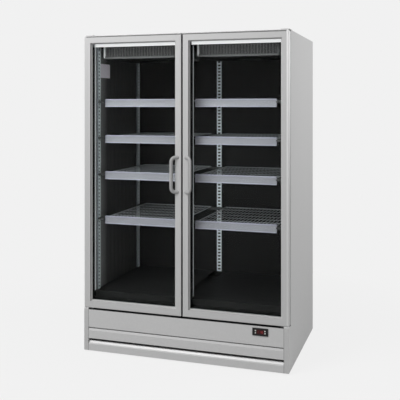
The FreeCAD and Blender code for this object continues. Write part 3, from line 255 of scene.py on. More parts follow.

# %% [markdown]
# ## Dark pieces
#
# Inside, most pieces are dark: an enamelled liner with a light stucco, black trim round the opening
# and moulded covers with a little gloss. The wall linings carry painted light near the doors, and
# each cover carries a painted highlight at its left end; the hinge plates are light. Dark surfaces
# show every reflection, so the matt ones get a low specular level.

# %% Dark enamel, trim and rubber
MATT = 0.12
clouded({
    "liner_enamel": ((20, 25), (0.5, 0.6), 4, 140, 0.6, MATT),
    "trim_plastic": ((18, 23), (0.5, 0.6), 9, 900, 0.2, MATT),
    "deck_enamel": ((20, 24), (0.5, 0.6), 5, 180, 0.4, MATT),
    "cover_plastic": ((92, 100), (0.4, 0.5), 7, 700, 0.2, SATIN),
    "cover_lip": ((92, 102), (0.3, 0.4), 7, 700, 0.2, GLOSSY),
    "cover_clip": ((226, 234), (0.3, 0.4), 7, 700, 0.2, GLOSSY),
    "grille_plastic": ((68, 74), (0.5, 0.6), 7, 700, 0.2, MATT),
    "machine_enamel": ((24, 36), (0.3, 0.45), 14, 400, 0.4, GLOSSY),
    "machine_plastic": ((44, 54), (0.45, 0.6), 12, 800, 0.2, GLOSSY),
    "foot_plastic": ((28, 38), (0.5, 0.7), 20, 600, 0.3, GLOSSY),
    "butyl_seal": ((14, 20), (0.55, 0.7), 15, 500, 0.3, MATT),
    # grey strip finish: rubber over the post joints, and painted shade along the door tops
    "strip_rubber": ((100, 114), (0.55, 0.7), 30, 500, 0.2, GLOSSY),
    "gasket_rubber": ((54, 66), (0.5, 0.65), 12, 450, 0.3, MATT),
    "hinge_enamel": ((190, 202), (0.4, 0.52), 20, 500, 0.2, GLOSSY),
})
# painted light: the wall enamel is paler near the front and darker towards the back
finish("wall_enamel", (140, 62), (0.5, 0.55), fade, ("Y", -0.28, -0.17), 220, 0.4, gloss=MATT)
print("dark finishes added, now", len(FINISHES))

# %% [markdown]
# ## Bright pieces
#
# Plated steel is drawn through rollers, so its grain runs lengthwise: the pattern is squeezed along
# the other axes to make streaks. The rails are a grey plastic extrusion with a lilac cast and the
# same lengthwise lines.

# %% Plated steel, aluminium and pale plastics
ALONG_Z = (60, 60, 1)
ALONG_X = (1, 60, 60)
PLATED = ((232, 240, 246), (243, 249, 253))
PLATED_SHADE = ((128, 134, 141), (146, 151, 157))
SPACER = ((172, 174, 177), (190, 192, 194))
RAIL_FACE = ((117, 116, 123), (132, 131, 138))
finish("plated_steel", PLATED, (0.32, 0.46), clouds, 6, 40, 0.2, ALONG_Z, Metallic=0.1)
# a darker copy of the plated steel for the flanges of the standards: painted shade
finish("plated_edge", PLATED_SHADE, (0.4, 0.5), clouds, 6, 40, 0.2, ALONG_Z)
finish("screw_steel", (150, 176), (0.28, 0.4), clouds, 90, 300, 0.1, Metallic=1.0)
finish("spacer_metal", SPACER, (0.3, 0.42), clouds, 8, 300, 0.1, Metallic=0.7)
finish("rail_plastic", RAIL_FACE, (0.35, 0.48), clouds, 4, 24, 0.3, ALONG_X)
finish("rail_lip", ((138, 137, 153), (152, 151, 166)), (0.35, 0.48), clouds, 4, 24, 0.3, ALONG_X)
finish("shelf_coating", ((150, 152, 156), (168, 170, 174)), (0.35, 0.5), clouds, 14, 700, 0.2)
finish("strip_plastic", ((222, 224, 228), (232, 234, 237)), (0.4, 0.5), clouds, 6, 400, 0.2)
finish("key_rubber", ((205, 204, 198), (220, 219, 214)), (0.4, 0.5), clouds, 60, 1500, 0.1)
finish("bush_nylon", ((205, 205, 196), (222, 222, 214)), (0.4, 0.55), clouds, 30, 700, 0.2)
# pale finish of the painted reflection on the left wall
finish("plate_plastic", ((238, 230, 240), (247, 240, 248)), (0.4, 0.5), clouds, 18, 700, 0.2)
print("bright finishes added, now", len(FINISHES))

# %% [markdown]
# ## Galvanised sheet, foam, copper and fins
#
# Galvanised sheet shows its zinc crystals as flat patches of slightly different grey. Foam is a
# mass of tiny cells, and copper darkens in blotches. A coil is a stack of thin aluminium fins,
# drawn as bands across the block.

# %% Cells and bands
ZINC = ((150, 152, 154), (172, 174, 175))
COPPER = ((168, 100, 66), (196, 124, 84))
FINS = ((96, 98, 100), (190, 192, 194))
finish("zinc_sheet", ZINC, (0.35, 0.5), cells, 70, 300, 0.2, Metallic=0.5)
finish("foam_cells", ((214, 204, 168), (228, 219, 186)), (0.8, 0.95), cells, 400, 500, 1.0)
finish("copper_pipe", COPPER, (0.28, 0.45), cells, 90, 300, 0.2, Metallic=1.0)
finish("coil_fins", FINS, (0.35, 0.5), bands, 300, 300, 1.0, Metallic=0.8)
print("patterned finishes added, now", len(FINISHES))

# %% [markdown]
# ## Lamp and display
#
# The lamp cover is an opal strip lit from behind, with the prism ribs of its moulding. The
# controller's face is glossy black, and its display hides lit figures behind a red filter.

# %% Lit finishes
FILTER_RED = ((52, 10, 12), (66, 14, 15))
finish(
    "lamp_cover", (190, 200), (0.3, 0.4), bands, 400, 300, 0.2,
    Emission_Color=tone(255), Emission_Strength=0.6,
)
finish("controller_gloss", (13, 18), (0.25, 0.35), clouds, 40, 900, 0.1, gloss=0.25)
finish("display_filter", FILTER_RED, (0.15, 0.22), clouds, 30, 300, 0.05, gloss=0.2)
finish(
    "display_light", ((150, 40, 44), (170, 50, 52)), (0.3, 0.4), bands, 900, 300, 0.1,
    Emission_Color=tone((200, 40, 45)), Emission_Strength=0.15,
)
print("lit finishes added, now", len(FINISHES))

# %% [markdown]
# ## Door glass
#
# Each door is double glazed and coated against glare. A Principled shader with full transmission
# bends and tints the view, but a renderer stops lamp light at such a surface, so for the rays that
# go to a lamp a Transparent shader takes over. A faint drift in roughness stands for the film that
# glass always has.

# %% Glass
FILM_SCALE, FILM_ROUGH = 3, 0.01


def mixed(tree, share, first, second):
    """Two shaders mixed by a share."""
    return add(tree, "MixShader", share, first, second)


glass, tree, surface = new_material("door_glass")
film = spread(tree, clouds(tree, coordinates(tree), FILM_SCALE), 0.0, FILM_ROUGH)
plug(tree, surface, Base_Color=tone((253, 254, 254)), Roughness=film)
plug(tree, surface, Transmission_Weight=1.0, IOR=1.07)
passing = add(tree, "BsdfTransparent", Color=tone((252, 254, 253)))
to_lamp = add(tree, "LightPath").outputs["Is Shadow Ray"]
pane = mixed(tree, to_lamp, surface, passing)
plug(tree, tree.nodes["Material Output"], Surface=pane)
FINISHES["door_glass"] = glass
print("glass ready,", len(FINISHES), "finishes in all")

# %% [markdown]
# ## Finishes for the CAD nodes
#
# The solids that are already right keep their own meshes and only change their material. Names that
# begin alike share a finish, so the table lists beginnings of names, and the longest that fits is
# used. Both doors have the same parts, so those are listed once.

# %% A finish for each node
FINISH_NODES = {
    "cabinet_paint": "side_panel base_posts roof_panel",
    "base_paint": "base_fascia base_louvre kick_plate",
    "door_paint": "frame handle",
    "door_glass": "panes",
    "butyl_seal": "edge_seal",
    "spacer_metal": "spacer",
    "gasket_rubber": "gasket",
    "bush_nylon": "bushes",
    "hinge_enamel": "hinge_brackets",
    "zinc_sheet": "rear_panel rear_grille base_chassis",
    "foam_cells": "insulation_foam",
    "liner_enamel": "inner_liner",
    "trim_plastic": "front_frame centre_mullion light_housing bead",
    "lamp_cover": "light_diffuser",
    "plated_steel": "shelf_standards",
    "rail_plastic": "price_rails",
    "shelf_coating": "shelf_",
    "deck_enamel": "deck_panels",
    "cover_plastic": "evaporator_covers",
    "coil_fins": "evaporator_coils condenser_coil",
    "machine_enamel": "fan_motors compressor",
    "machine_plastic": "shelf_clips evaporator_fan condenser drain_pan",
    "foot_plastic": "levelling_feet power_inlet",
    "copper_pipe": "refrigerant_pipes",
    "controller_gloss": "controller_bezel",
    "display_filter": "controller_window",
    "key_rubber": "key_",
}
NODE_FINISH = {start: name for name, starts in FINISH_NODES.items() for start in starts.split()}
print(len(NODE_FINISH), "beginnings of names for", len(FINISH_NODES), "finishes")

# %% Dress the nodes


def wear(thing, *names):
    """Give a piece its finishes; faces that ask for no other wear the first."""
    for name in names:
        thing.data.materials.append(FINISHES[name])


for node, solid in NODES.items():
    solid.data.materials.clear()
    part = node.removeprefix("door_left_").removeprefix("door_right_")
    wear(solid, NODE_FINISH[max(filter(part.startswith, NODE_FINISH), key=len)])
print("dressed", len(NODES), "nodes")

# %% [markdown]
# ## Tools for new pieces
#
# Finer pieces are built straight into one mesh with bmesh, in place and in metres. A block, a bar
# between two points, a profile drawn along an axis and a mirror image cover most of a cabinet. Each
# new piece rides on a CAD body and may stand for a CAD node, which is then hidden.

# %% Blocks and bars


def block(mesh, low, high):
    """A block between two corners."""
    middle = [(a + b) / 2 for a, b in zip(low, high)]
    extent = [b - a for a, b in zip(low, high)]
    shape = Matrix.Translation(middle) @ Matrix.Diagonal((*extent, 1))
    bmesh.ops.create_cube(mesh, size=1, matrix=shape)


def bar(mesh, start, end, radius, sides=10, tip=None):
    """A round bar between two points, or a cone if it has a tip radius."""
    start, end = Vector(start), Vector(end)
    run = end - start
    turn = run.to_track_quat("Z", "Y").to_matrix().to_4x4()
    shape = Matrix.Translation((start + end) / 2) @ turn
    bmesh.ops.create_cone(
        mesh, cap_ends=True, segments=sides, radius1=radius, radius2=radius if tip is None else tip,
        depth=run.length, matrix=shape,
    )


print("blocks and bars ready")

# %% Rings and profiles


def joined(mesh, rings, closed):
    """Faces between neighbouring rings of vertices; closed joins the last ring to the first."""
    faces = []
    following = rings[1:] + (rings[:1] if closed else [])
    for low, high in zip(rings, following):
        for here in range(len(low)):
            there = (here + 1) % len(low)
            faces.append(mesh.faces.new((low[here], low[there], high[there], high[here])))
    return faces


def drawn(mesh, profile, axis, low, high):
    """A closed profile drawn along an axis (0, 1, 2); its points give the other two axes."""
    ends = []
    for along in (low, high):
        spots = [[*point[:axis], along, *point[axis:]] for point in profile]
        ends.append([mesh.verts.new(spot) for spot in spots])
    faces = joined(mesh, ends, closed=False)
    for ring in ends:
        mesh.faces.new(ring)
    return faces


def mirror(mesh):
    """Add a mirror image across the middle of the cabinet."""
    geometry = mesh.verts[:] + mesh.edges[:] + mesh.faces[:]
    copied = bmesh.ops.duplicate(mesh, geom=geometry)["geom"]
    verts = [item for item in copied if isinstance(item, bmesh.types.BMVert)]
    bmesh.ops.scale(mesh, vec=(-1, 1, 1), verts=verts)


print("rings and profiles ready")

# %% From a mesh to a piece
SMOOTH_BELOW = 35


def piece(name, mesh, finishes, slot, nodes=(), body="cabinet", bevel=0.0, sheet=0.0, twin=False):
    """Turn a bmesh, and its mirror image if it has a twin, into a piece that rides on a body."""
    if twin:
        mirror(mesh)
    bmesh.ops.recalc_face_normals(mesh, faces=mesh.faces)
    data = bpy.data.meshes.new(name)
    mesh.to_mesh(data)
    mesh.free()
    data.shade_smooth()
    data.set_sharp_from_angle(angle=math.radians(SMOOTH_BELOW))
    made = bpy.data.objects.new(name, data)
    SCENE.collection.objects.link(made)
    if sheet:
        gauge = made.modifiers.new("sheet_gauge", "SOLIDIFY")
        gauge.thickness = sheet
        gauge.offset = -1
    if bevel:
        edge = made.modifiers.new("soft_edges", "BEVEL")
        edge.width = bevel
        edge.segments = 2
        edge.limit_method = "ANGLE"
        edge.harden_normals = True
    wear(made, *finishes.split())
    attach(made, body)
    if nodes:
        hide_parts(*nodes)
    print(name, len(data.polygons), "faces")


print("edges above", SMOOTH_BELOW, "degrees stay sharp")

# %% [markdown]
# ## Wire shelves
#
# Each shelf is a frame of round rod with thin wires welded across it. The wires run front to back
# over a few cross wires. An array modifier could repeat one wire, but a loop sets both ends
# exactly, and welded rod simply overlaps, so straight bars do.

# %% Shelves
FRAME_ROD, THIN_WIRE, WIRE_SIDES = 3 * MM, 1.5 * MM, 6
WIRES, CROSS_WIRES = 20, 5
BAY_INNER = 52 * MM
SHELF_TOPS = []


def wire_shelf(mesh, low, high):
    """A shelf between two corners."""
    x_low, x_high = low.x + FRAME_ROD, high.x - FRAME_ROD
    y_low, y_high = low.y + FRAME_ROD, high.y - FRAME_ROD
    rim_z = high.z - FRAME_ROD
    corners = [(x_low, y_low), (x_high, y_low), (x_high, y_high), (x_low, y_high)]
    for here, there in zip(corners, corners[1:] + corners[:1]):
        bar(mesh, (*here, rim_z), (*there, rim_z), FRAME_ROD)
    for number in range(1, WIRES + 1):
        x = x_low + (x_high - x_low) * number / (WIRES + 1)
        z = high.z - THIN_WIRE
        bar(mesh, (x, y_low, z), (x, y_high, z), THIN_WIRE, WIRE_SIDES)
    for number in range(1, CROSS_WIRES + 1):
        y = y_low + (y_high - y_low) * number / (CROSS_WIRES + 1)
        z = high.z - 3 * THIN_WIRE
        bar(mesh, (x_low, y, z), (x_high, y, z), THIN_WIRE, WIRE_SIDES)


for number in (1, 2, 3, 4):
    node = f"shelf_{number}"
    low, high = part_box(node)
    low.x = BAY_INNER
    SHELF_TOPS.append(high.z)
    wires = bmesh.new()
    wire_shelf(wires, low, high)
    piece(node + "_wires", wires, "shelf_coating", "shelf_wire", [node], twin=True)

# %% [markdown]
# ## Door handles
#
# The handle is a bent bar of oval section: out of the stile, round a bend, up, and back in. Its
# path lies in one leaning plane, so the oval is carried along it with one axis in that plane and
# one square to it. A bevelled curve could do the same, but may twist the oval in a bend. A low
# collar closes the hole at each foot.

# %% A bow of oval section
UP = Vector((0, 0, 1))
BEND_STEPS = 10
HANDLE_SUNK = 12 * MM


def swept(mesh, path, plane, half_in, half_out, sides, closed=False):
    """An oval bar along a flat path, with half sizes in the path's plane and out of it."""
    rings = []
    count = len(path)
    for number, point in enumerate(path):
        before = path[number - 1] if closed or number else point
        after = path[(number + 1) % count] if closed or number + 1 < count else point
        inward = plane.cross((after - before).normalized())
        angles = [2 * math.pi * step / sides for step in range(sides)]
        offsets = [inward * half_in * math.cos(a) + plane * half_out * math.sin(a) for a in angles]
        rings.append([mesh.verts.new(point + offset) for offset in offsets])
    joined(mesh, rings, closed)
    if not closed:
        mesh.faces.new(rings[0])
        mesh.faces.new(rings[-1])


def bow_path(foot, out, reach, bend, tall):
    """Points of a bow that leaves its foot along out, bends up, runs tall and returns."""
    points = [foot - out * HANDLE_SUNK]
    for centre_z, first in ((bend, -90), (tall - bend, 0)):
        for step in range(BEND_STEPS + 1):
            angle = math.radians(first + 90 * step / BEND_STEPS)
            along = reach - bend + bend * math.cos(angle)
            points.append(foot + out * along + UP * (centre_z + bend * math.sin(angle)))
    points.append(foot + UP * tall - out * HANDLE_SUNK)
    return points


print("a bow has", 2 * BEND_STEPS + 4, "points")

# %% Handles
HANDLE_IN, HANDLE_OUT = 11 * MM, 8.5 * MM
HANDLE_BEND, HANDLE_SIDES = 26 * MM, 20
HANDLE_FOOT_X, HANDLE_BAR_X = 30 * MM, 60 * MM
HANDLE_STAND = 22.2 * MM
COLLAR_RADIUS, COLLAR_THICK, COLLAR_SIDES = 12 * MM, 1.5 * MM, 28
DOORS = (("left", -1), ("right", 1))

for side, sign in DOORS:
    node = f"door_{side}_handle"
    low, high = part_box(node)
    foot = Vector((sign * HANDLE_FOOT_X, high.y, low.z + HANDLE_IN))
    lean = Vector((sign * (HANDLE_BAR_X - HANDLE_FOOT_X), -HANDLE_STAND, 0))
    out = lean.normalized()
    tall = high.z - low.z - 2 * HANDLE_IN
    grip = bmesh.new()
    path = bow_path(foot, out, lean.length, HANDLE_BEND, tall)
    swept(grip, path, out.cross(UP), HANDLE_IN, HANDLE_OUT, HANDLE_SIDES)
    for z in (foot.z, foot.z + tall):
        centre = Vector((foot.x, foot.y, z))
        rise = centre - Vector((0, COLLAR_THICK, 0))
        bar(grip, centre, rise, COLLAR_RADIUS, COLLAR_SIDES, COLLAR_RADIUS - MM)
    piece(node + "_bow", grip, "handle_paint", "door_paint", [node], body=f"door_{side}")

# %% [markdown]
# ## Price rails
#
# The rail on the front of a shelf is a plastic extrusion: a tilted face with a paler lip above and
# below, and a hook behind that takes the shelf's edge. A curve with a bevel object could make it,
# but a profile drawn along X lets single faces take the paler finish. A flat cap closes each end.

# %% Price rails
RAIL_PROFILE = (
    (0, -42), (0.2, -38.4), (2.2, -37.4), (2.6, -36.4), (5.6, 1.4), (4.4, 2.6), (4.6, 6.6),
    (6, 8), (12, 8), (12, -6), (9.2, -6), (6.5, -38), (12, -39.5), (12, -42),
)
LIP_FACES = (0, 1, 2, 4, 5, 6, 7)
PALE_LIP = 1
CAP_PROFILE = ((0, -42), (4.4, 7.4), (6, 8), (12, 8), (12, -42))
CAP_THICK = 2.2 * MM
rail_low, rail_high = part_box("price_rails")


def moved(profile, first, second):
    """A profile in millimetres, moved to a place in metres."""
    return [(first + u * MM, second + v * MM) for u, v in profile]


rails = bmesh.new()
for level in SHELF_TOPS:
    profile = moved(RAIL_PROFILE, rail_low.y, level)
    faces = drawn(rails, profile, 0, BAY_INNER + CAP_THICK, rail_high.x - CAP_THICK)
    pale = [faces[number] for number in LIP_FACES]
    profile = moved(CAP_PROFILE, rail_low.y, level)
    for x in (BAY_INNER, rail_high.x - CAP_THICK):
        pale += drawn(rails, profile, 0, x, x + CAP_THICK)
    for face in pale:
        face.material_index = PALE_LIP
plastics = "rail_plastic rail_lip"
piece("price_rail_strips", rails, plastics, "rail_plastic", ["price_rails"], twin=True)

# %% [markdown]
# ## Slotted standards
#
# The uprights are rolled channels with a wide slot every 23 millimetres for the shelf clips, so
# they look like small ladders. A slot is a hole in a strip of sheet: each pitch is a few faces
# round an empty middle, and the sheet gets its gauge from a Solidify modifier. Cutting each slot
# with a Boolean would be slower and less clean.

# %% A slotted channel
PITCH = 23 * MM
SLOT_HALF, SLOT_HEIGHT = 9 * MM, 11 * MM
STANDARD_HALF, STANDARD_DEPTH = 17 * MM, 12 * MM
# the flanges take the darker plated copy as painted shade
SHADED_FLANGE = 1


def standard_strip(mesh, place, face, z_low, z_high):
    """A slotted channel at a place, with its slotted face towards a direction."""
    across = UP.cross(face)

    def at(u, v, z):
        return place + across * u + face * v + UP * z

    columns = [-STANDARD_HALF, -SLOT_HALF, SLOT_HALF, STANDARD_HALF]
    heights = []
    for number in range(int((z_high - z_low) / PITCH)):
        base = z_low + number * PITCH
        heights += [base, base + PITCH - SLOT_HEIGHT]
    heights.append(z_high)
    rows = [[mesh.verts.new(at(u, STANDARD_DEPTH, z)) for u in columns] for z in heights]
    for number, (low, high) in enumerate(zip(rows, rows[1:])):
        for column in range(len(columns) - 1):
            in_slot = column == 1 and number % 2
            if not in_slot:
                mesh.faces.new((low[column], low[column + 1], high[column + 1], high[column]))
    for u, end in ((-STANDARD_HALF, 0), (STANDARD_HALF, -1)):
        back = [mesh.verts.new(at(u, 0, z)) for z in heights]
        for number in range(len(rows) - 1):
            corners = (rows[number][end], rows[number + 1][end], back[number + 1], back[number])
            mesh.faces.new(corners).material_index = SHADED_FLANGE


print("a slot every", round(PITCH / MM), "mm")

# %% Standards
SHEET_GAUGE = 1.5 * MM
WALL_STANDARDS = (-314 * MM, 334 * MM)

wall_low, wall_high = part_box("shelf_standards")
mullion_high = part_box("centre_mullion")[1]
uprights = bmesh.new()
for y in WALL_STANDARDS:
    for sign in (-1, 1):
        foot = Vector((sign * wall_high.x, y, 0))
        standard_strip(uprights, foot, Vector((-sign, 0, 0)), wall_low.z, wall_high.z)
for y, sign in ((mullion_high.y, 1), (wall_high.y, -1)):
    standard_strip(uprights, Vector((0, y, 0)), Vector((0, sign, 0)), wall_low.z, wall_high.z)
steel = "plated_steel plated_edge"
piece("standard_strips", uprights, steel, "standard_zinc", ["shelf_standards"], sheet=SHEET_GAUGE)

# %% [markdown]
# ## Wall linings, snap strips and a painted reflection
#
# Each side wall has a dark grey lining sheet with shallow upright ribs, whose finish carries
# painted light near the front. Where it meets the front trim, a pale snap strip hides the joint.
# Two black plates cover the sides of the centre standard, each with a pale strip along its rear
# edge. High on the left wall, a small pale sheet with rounded corners is a painted reflection. All
# are straight profiles, so one helper draws them.

# %% Wall linings
WALL_RUN = (wall_low.z, wall_high.z)
RIB_PITCH, RIB_HALF, RIB_PROUD = 62 * MM, 9 * MM, 0.8 * MM
LINING_THICK = 0.6 * MM
RIB = ((-RIB_HALF, 0), (-RIB_HALF / 2, RIB_PROUD), (RIB_HALF / 2, RIB_PROUD), (RIB_HALF, 0))


def strip_piece(name, profile, axis, span, *rest, **more):
    """A profile drawn along an axis, as a piece."""
    mesh = bmesh.new()
    drawn(mesh, profile, axis, *span)
    piece(name, mesh, *rest, **more)


trim_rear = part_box("front_frame")[1].y
profile = [(wall_high.x, trim_rear)]
for number in range(int((wall_high.y - trim_rear) / RIB_PITCH)):
    middle = trim_rear + (number + 0.5) * RIB_PITCH
    profile += [(wall_high.x - LINING_THICK - proud, middle + along) for along, proud in RIB]
profile.append((wall_high.x, wall_high.y))
# the lining's finish carries painted light near the front
strip_piece("wall_linings", profile, 2, WALL_RUN, "wall_enamel", "liner_dark", twin=True)

# %% Snap strips and mullion sides
SNAP_PROFILE = ((0, 0), (-8, 0), (-8, 2), (-2, 5), (0, 5))
EDGE_PROFILE = ((0, 16), (1.4, 17), (1.4, 25), (0, 26))
SIDE_PROFILE = ((0, 0), (0, 25.5), (-2, 25.5), (-2, 0))
SIDE_SOFT = 0.5 * MM

snap = bmesh.new()
drawn(snap, moved(SNAP_PROFILE, wall_high.x, trim_rear), 2, *WALL_RUN)
drawn(snap, moved(EDGE_PROFILE, mullion_high.x, mullion_high.y), 2, *WALL_RUN)
piece("snap_strips", snap, "strip_plastic", "standard_zinc", twin=True)
profile = moved(SIDE_PROFILE, mullion_high.x, mullion_high.y)
strip_piece(
    "mullion_sides", profile, 2, WALL_RUN, "trim_plastic", "trim_dark", bevel=SIDE_SOFT, twin=True,
)

# %% A painted reflection on the wall
REFLECTION_LOW, REFLECTION_HIGH = (-289 * MM, 1735 * MM), (-137 * MM, 1826 * MM)
REFLECTION_THICK, REFLECTION_CORNER, REFLECTION_SOFT = 3 * MM, 6 * MM, 0.8 * MM
CORNER_STEPS = 5


def rounded(low, high, radii, steps):
    """Points round a rectangle between two corners, from the upper right against the clock."""
    points = []
    corners = ((high[0], high[1]), (low[0], high[1]), (low[0], low[1]), (high[0], low[1]))
    towards = ((-1, -1), (1, -1), (1, 1), (-1, 1))
    for number, (corner, way, radius) in enumerate(zip(corners, towards, radii)):
        for step in range(steps + 1):
            angle = math.radians(90 * (number + step / max(steps, 1)))
            across = corner[0] + radius * (way[0] + math.cos(angle))
            points.append((across, corner[1] + radius * (way[1] + math.sin(angle))))
    return points


profile = rounded(REFLECTION_LOW, REFLECTION_HIGH, [REFLECTION_CORNER] * 4, CORNER_STEPS)
span = (wall_low.x, wall_low.x + REFLECTION_THICK)
# a pale sheet on the dark wall as a painted reflection
strip_piece("wall_painted_reflection", profile, 0, span, "plate_plastic", "rail_plastic", bevel=REFLECTION_SOFT)

# %% [markdown]
# ## Evaporator covers
#
# The cold air unit hangs under the ceiling in a moulded cover: rounded below, with a shallow recess
# in front full of upright bars, and a round fan opening underneath. A box is bevelled, its front
# face is inset twice to sink the recess, and its floor is filled again round a circle. The bevelled
# lip has more gloss, a pale patch at its left end is a painted highlight, and the underside is
# painted nearly black as shade. Filling leaves the new faces in any order, so they are sorted. A
# wire guard closes the opening.

# %% Sizes of a cover
COVER_ROUND, ROUND_STEPS = 20 * MM, 6
COVER_LIP, LIP_STEPS = 10 * MM, 4
RECESS_BORDER, RECESS_DEPTH = 5 * MM, 7 * MM
FAN_HOLE, HOLE_SIDES = 78 * MM, 48
NEARLY = 0.1 * MM
GRILLE, LIP, HIGHLIGHT_END, PAINTED_SHADE_BELOW = 1, 2, 3, 4
ROUNDED = {"affect": "EDGES", "profile": 0.5}
print("fan openings are", round(2 * FAN_HOLE / MM), "mm wide")

# %% The shell of a cover


def outermost(mesh, pick, axis):
    """The face whose middle is the min or the max along an axis (0, 1, 2)."""
    return pick(mesh.faces, key=lambda face: face.calc_center_median()[axis])


def cover_shell(mesh, low, high, fan):
    """A tray with rounded lower edges, a recessed front and a round opening in its floor."""
    block(mesh, low, high)
    sides = []
    for edge in mesh.edges:
        one, other = (vert.co for vert in edge.verts)
        if max(one.z, other.z) < low.z + NEARLY and abs(one.x - other.x) < NEARLY:
            sides.append(edge)
    bmesh.ops.bevel(mesh, geom=sides, offset=COVER_ROUND, segments=ROUND_STEPS, **ROUNDED)
    below = high.z - NEARLY
    front = outermost(mesh, min, 1)
    lip = [edge for edge in front.edges if min(vert.co.z for vert in edge.verts) < below]
    soft = bmesh.ops.bevel(mesh, geom=lip, offset=COVER_LIP, segments=LIP_STEPS, **ROUNDED)
    for face in soft["faces"]:
        face.material_index = LIP
    front = outermost(mesh, min, 1)
    bmesh.ops.inset_region(mesh, faces=[front], thickness=RECESS_BORDER)
    bmesh.ops.inset_region(mesh, faces=[front], thickness=MM, depth=-RECESS_DEPTH)
    front.material_index = GRILLE
    floor, lid = outermost(mesh, min, 2), outermost(mesh, max, 2)
    rim = list(floor.edges)
    bmesh.ops.delete(mesh, geom=[floor, lid], context="FACES_ONLY")
    place = Matrix.Translation((fan.x, fan.y, low.z))
    circle = bmesh.ops.create_circle(mesh, segments=HOLE_SIDES, radius=FAN_HOLE, matrix=place)
    rim += dict.fromkeys(edge for vert in circle["verts"] for edge in vert.link_edges)
    bmesh.ops.triangle_fill(mesh, edges=rim, use_beauty=True, normal=(0, 0, -1))


print("cover shell ready")

# %% Cover trays
COVER_INNER, COVER_WALL = 57 * MM, 2 * MM
MOSTLY = 0.8
FACE_ORDER = Vector((1.0, 1.7, 2.9))

low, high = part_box("evaporator_covers")
low.x = COVER_INNER
fan_low, fan_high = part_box("evaporator_fan_right")
fan = (fan_low + fan_high) / 2
fan.z = low.z
tray = bmesh.new()
cover_shell(tray, low, high, fan)
mirror(tray)
tray.faces.sort(key=lambda face: face.calc_center_median().dot(FACE_ORDER))
tray.normal_update()
for face in tray.faces:
    middle = face.calc_center_median()
    # downward faces take the near-black trim as painted shade
    if abs(face.normal.z) > MOSTLY and middle.z < low.z + COVER_LIP:
        face.material_index = PAINTED_SHADE_BELOW
    # faces at the left end of each cover take a painted highlight
    for end in (-high.x, low.x):
        at_end = end < middle.x < end + COVER_LIP + RECESS_BORDER
        if at_end and middle.y < low.y + COVER_LIP and middle.z > low.z + COVER_LIP:
            face.material_index = HIGHLIGHT_END
plastics = "cover_plastic grille_plastic cover_lip cover_clip trim_plastic"
piece("cover_trays", tray, plastics, "cover_dark", ["evaporator_covers"], sheet=COVER_WALL)

# %% Cover bars
BAR_PITCH, BAR_WIDTH = 19 * MM, 3 * MM

uprights = bmesh.new()
border = COVER_LIP + RECESS_BORDER
count = int((high.x - low.x - 2 * border) / BAR_PITCH)
for number in range(count + 1):
    x = (low.x + high.x) / 2 + (number - count / 2) * BAR_PITCH
    drop = COVER_ROUND if number in (0, count) else border
    block(
        uprights, (x - BAR_WIDTH / 2, low.y + MM, low.z + drop + MM),
        (x + BAR_WIDTH / 2, low.y + RECESS_DEPTH + NEARLY, high.z - RECESS_BORDER),
    )
piece("cover_bars", uprights, "cover_plastic", "cover_dark", bevel=MM, twin=True)

# %% Fan guards
GUARD_RADII = (22 * MM, 40 * MM, 58 * MM, 76 * MM)
GUARD_WIRE, GUARD_STEPS = 1.3 * MM, 40
SPOKES, SPOKE_OVERLAP = 6, 4 * MM

guards = bmesh.new()
for radius in GUARD_RADII:
    angles = [math.radians(360 / GUARD_STEPS * step) for step in range(GUARD_STEPS)]
    ring = [fan + Vector((radius * math.cos(a), radius * math.sin(a), GUARD_WIRE)) for a in angles]
    swept(guards, ring, UP, GUARD_WIRE, GUARD_WIRE, WIRE_SIDES, closed=True)
for step in range(SPOKES):
    angle = math.radians(180 / SPOKES * step)
    spoke = Vector((math.cos(angle), math.sin(angle), 0)) * (FAN_HOLE + SPOKE_OVERLAP)
    lift = UP * 3 * GUARD_WIRE
    bar(guards, fan - spoke + lift, fan + spoke + lift, GUARD_WIRE, WIRE_SIDES)
piece("fan_guards", guards, "machine_enamel", "machine_black", twin=True)

# %% [markdown]
# ## Lamp ends
#
# The opal strip under the header is held by a pale cap at each end. The caps are slightly larger
# than the strip, so that they read as separate mouldings. Bevelled blocks are enough.

# %% Lamp caps
LAMP_CAP, CAP_INNER = 9 * MM, 12 * MM
CAP_PROUD = 0.4 * MM
low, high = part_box("light_diffuser")
caps = bmesh.new()
for x, inner in ((mullion_high.x, CAP_INNER), (high.x, LAMP_CAP)):
    x_low, x_high = x - inner, x + LAMP_CAP
    block(caps, (x_low, low.y - CAP_PROUD, low.z - CAP_PROUD), (x_high, high.y, high.z + CAP_PROUD))
piece("lamp_caps", caps, "strip_plastic", "trim_dark", bevel=CAP_PROUD, twin=True)

# %% [markdown]
# ## Painted highlights on the folds of the base
#
# The louvre panel and the kick plate are folded back along their top edges, and those folds catch
# the light. A thin paler strip laid on each slope is a painted highlight and leaves the panels as
# they are.

# %% Fold strips
STRIP_PROUD = 0.4 * MM
# each fold strip is a painted highlight in a paler paint
FOLDS = {
    "base_louvre": (14 * MM, 5 * MM, 1.0, "soft_edge"),
    "kick_plate": (17 * MM, 14 * MM, 0.68, "bright_edge"),
}
for node, (climb, run, share, name) in FOLDS.items():
    low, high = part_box(node)
    off = Vector((-climb, run)).normalized() * STRIP_PROUD
    top = Vector((low.y + run, high.z))
    bottom = top - Vector((run, climb)) * share
    profile = [tuple(spot) for spot in (bottom, bottom + off, top + off, top)]
    strip_piece(node + "_fold_highlight", profile, 0, (low.x + MM, high.x - MM), name, "body_paint")

# %% [markdown]
# ## Door frames
#
# A door frame is four lengths of one aluminium extrusion, mitred at the corners and painted. Its
# section has a face, a step down to a bead, and a rebate behind for the glass. The hinge edge of
# the right door carries a painted highlight in a paler band, brightest near the top. Each point of
# the section becomes a loop round the door, and neighbouring loops are joined. Four bars cut at 45
# degrees would do too, but loops keep the mitres exact and leave no hidden faces.

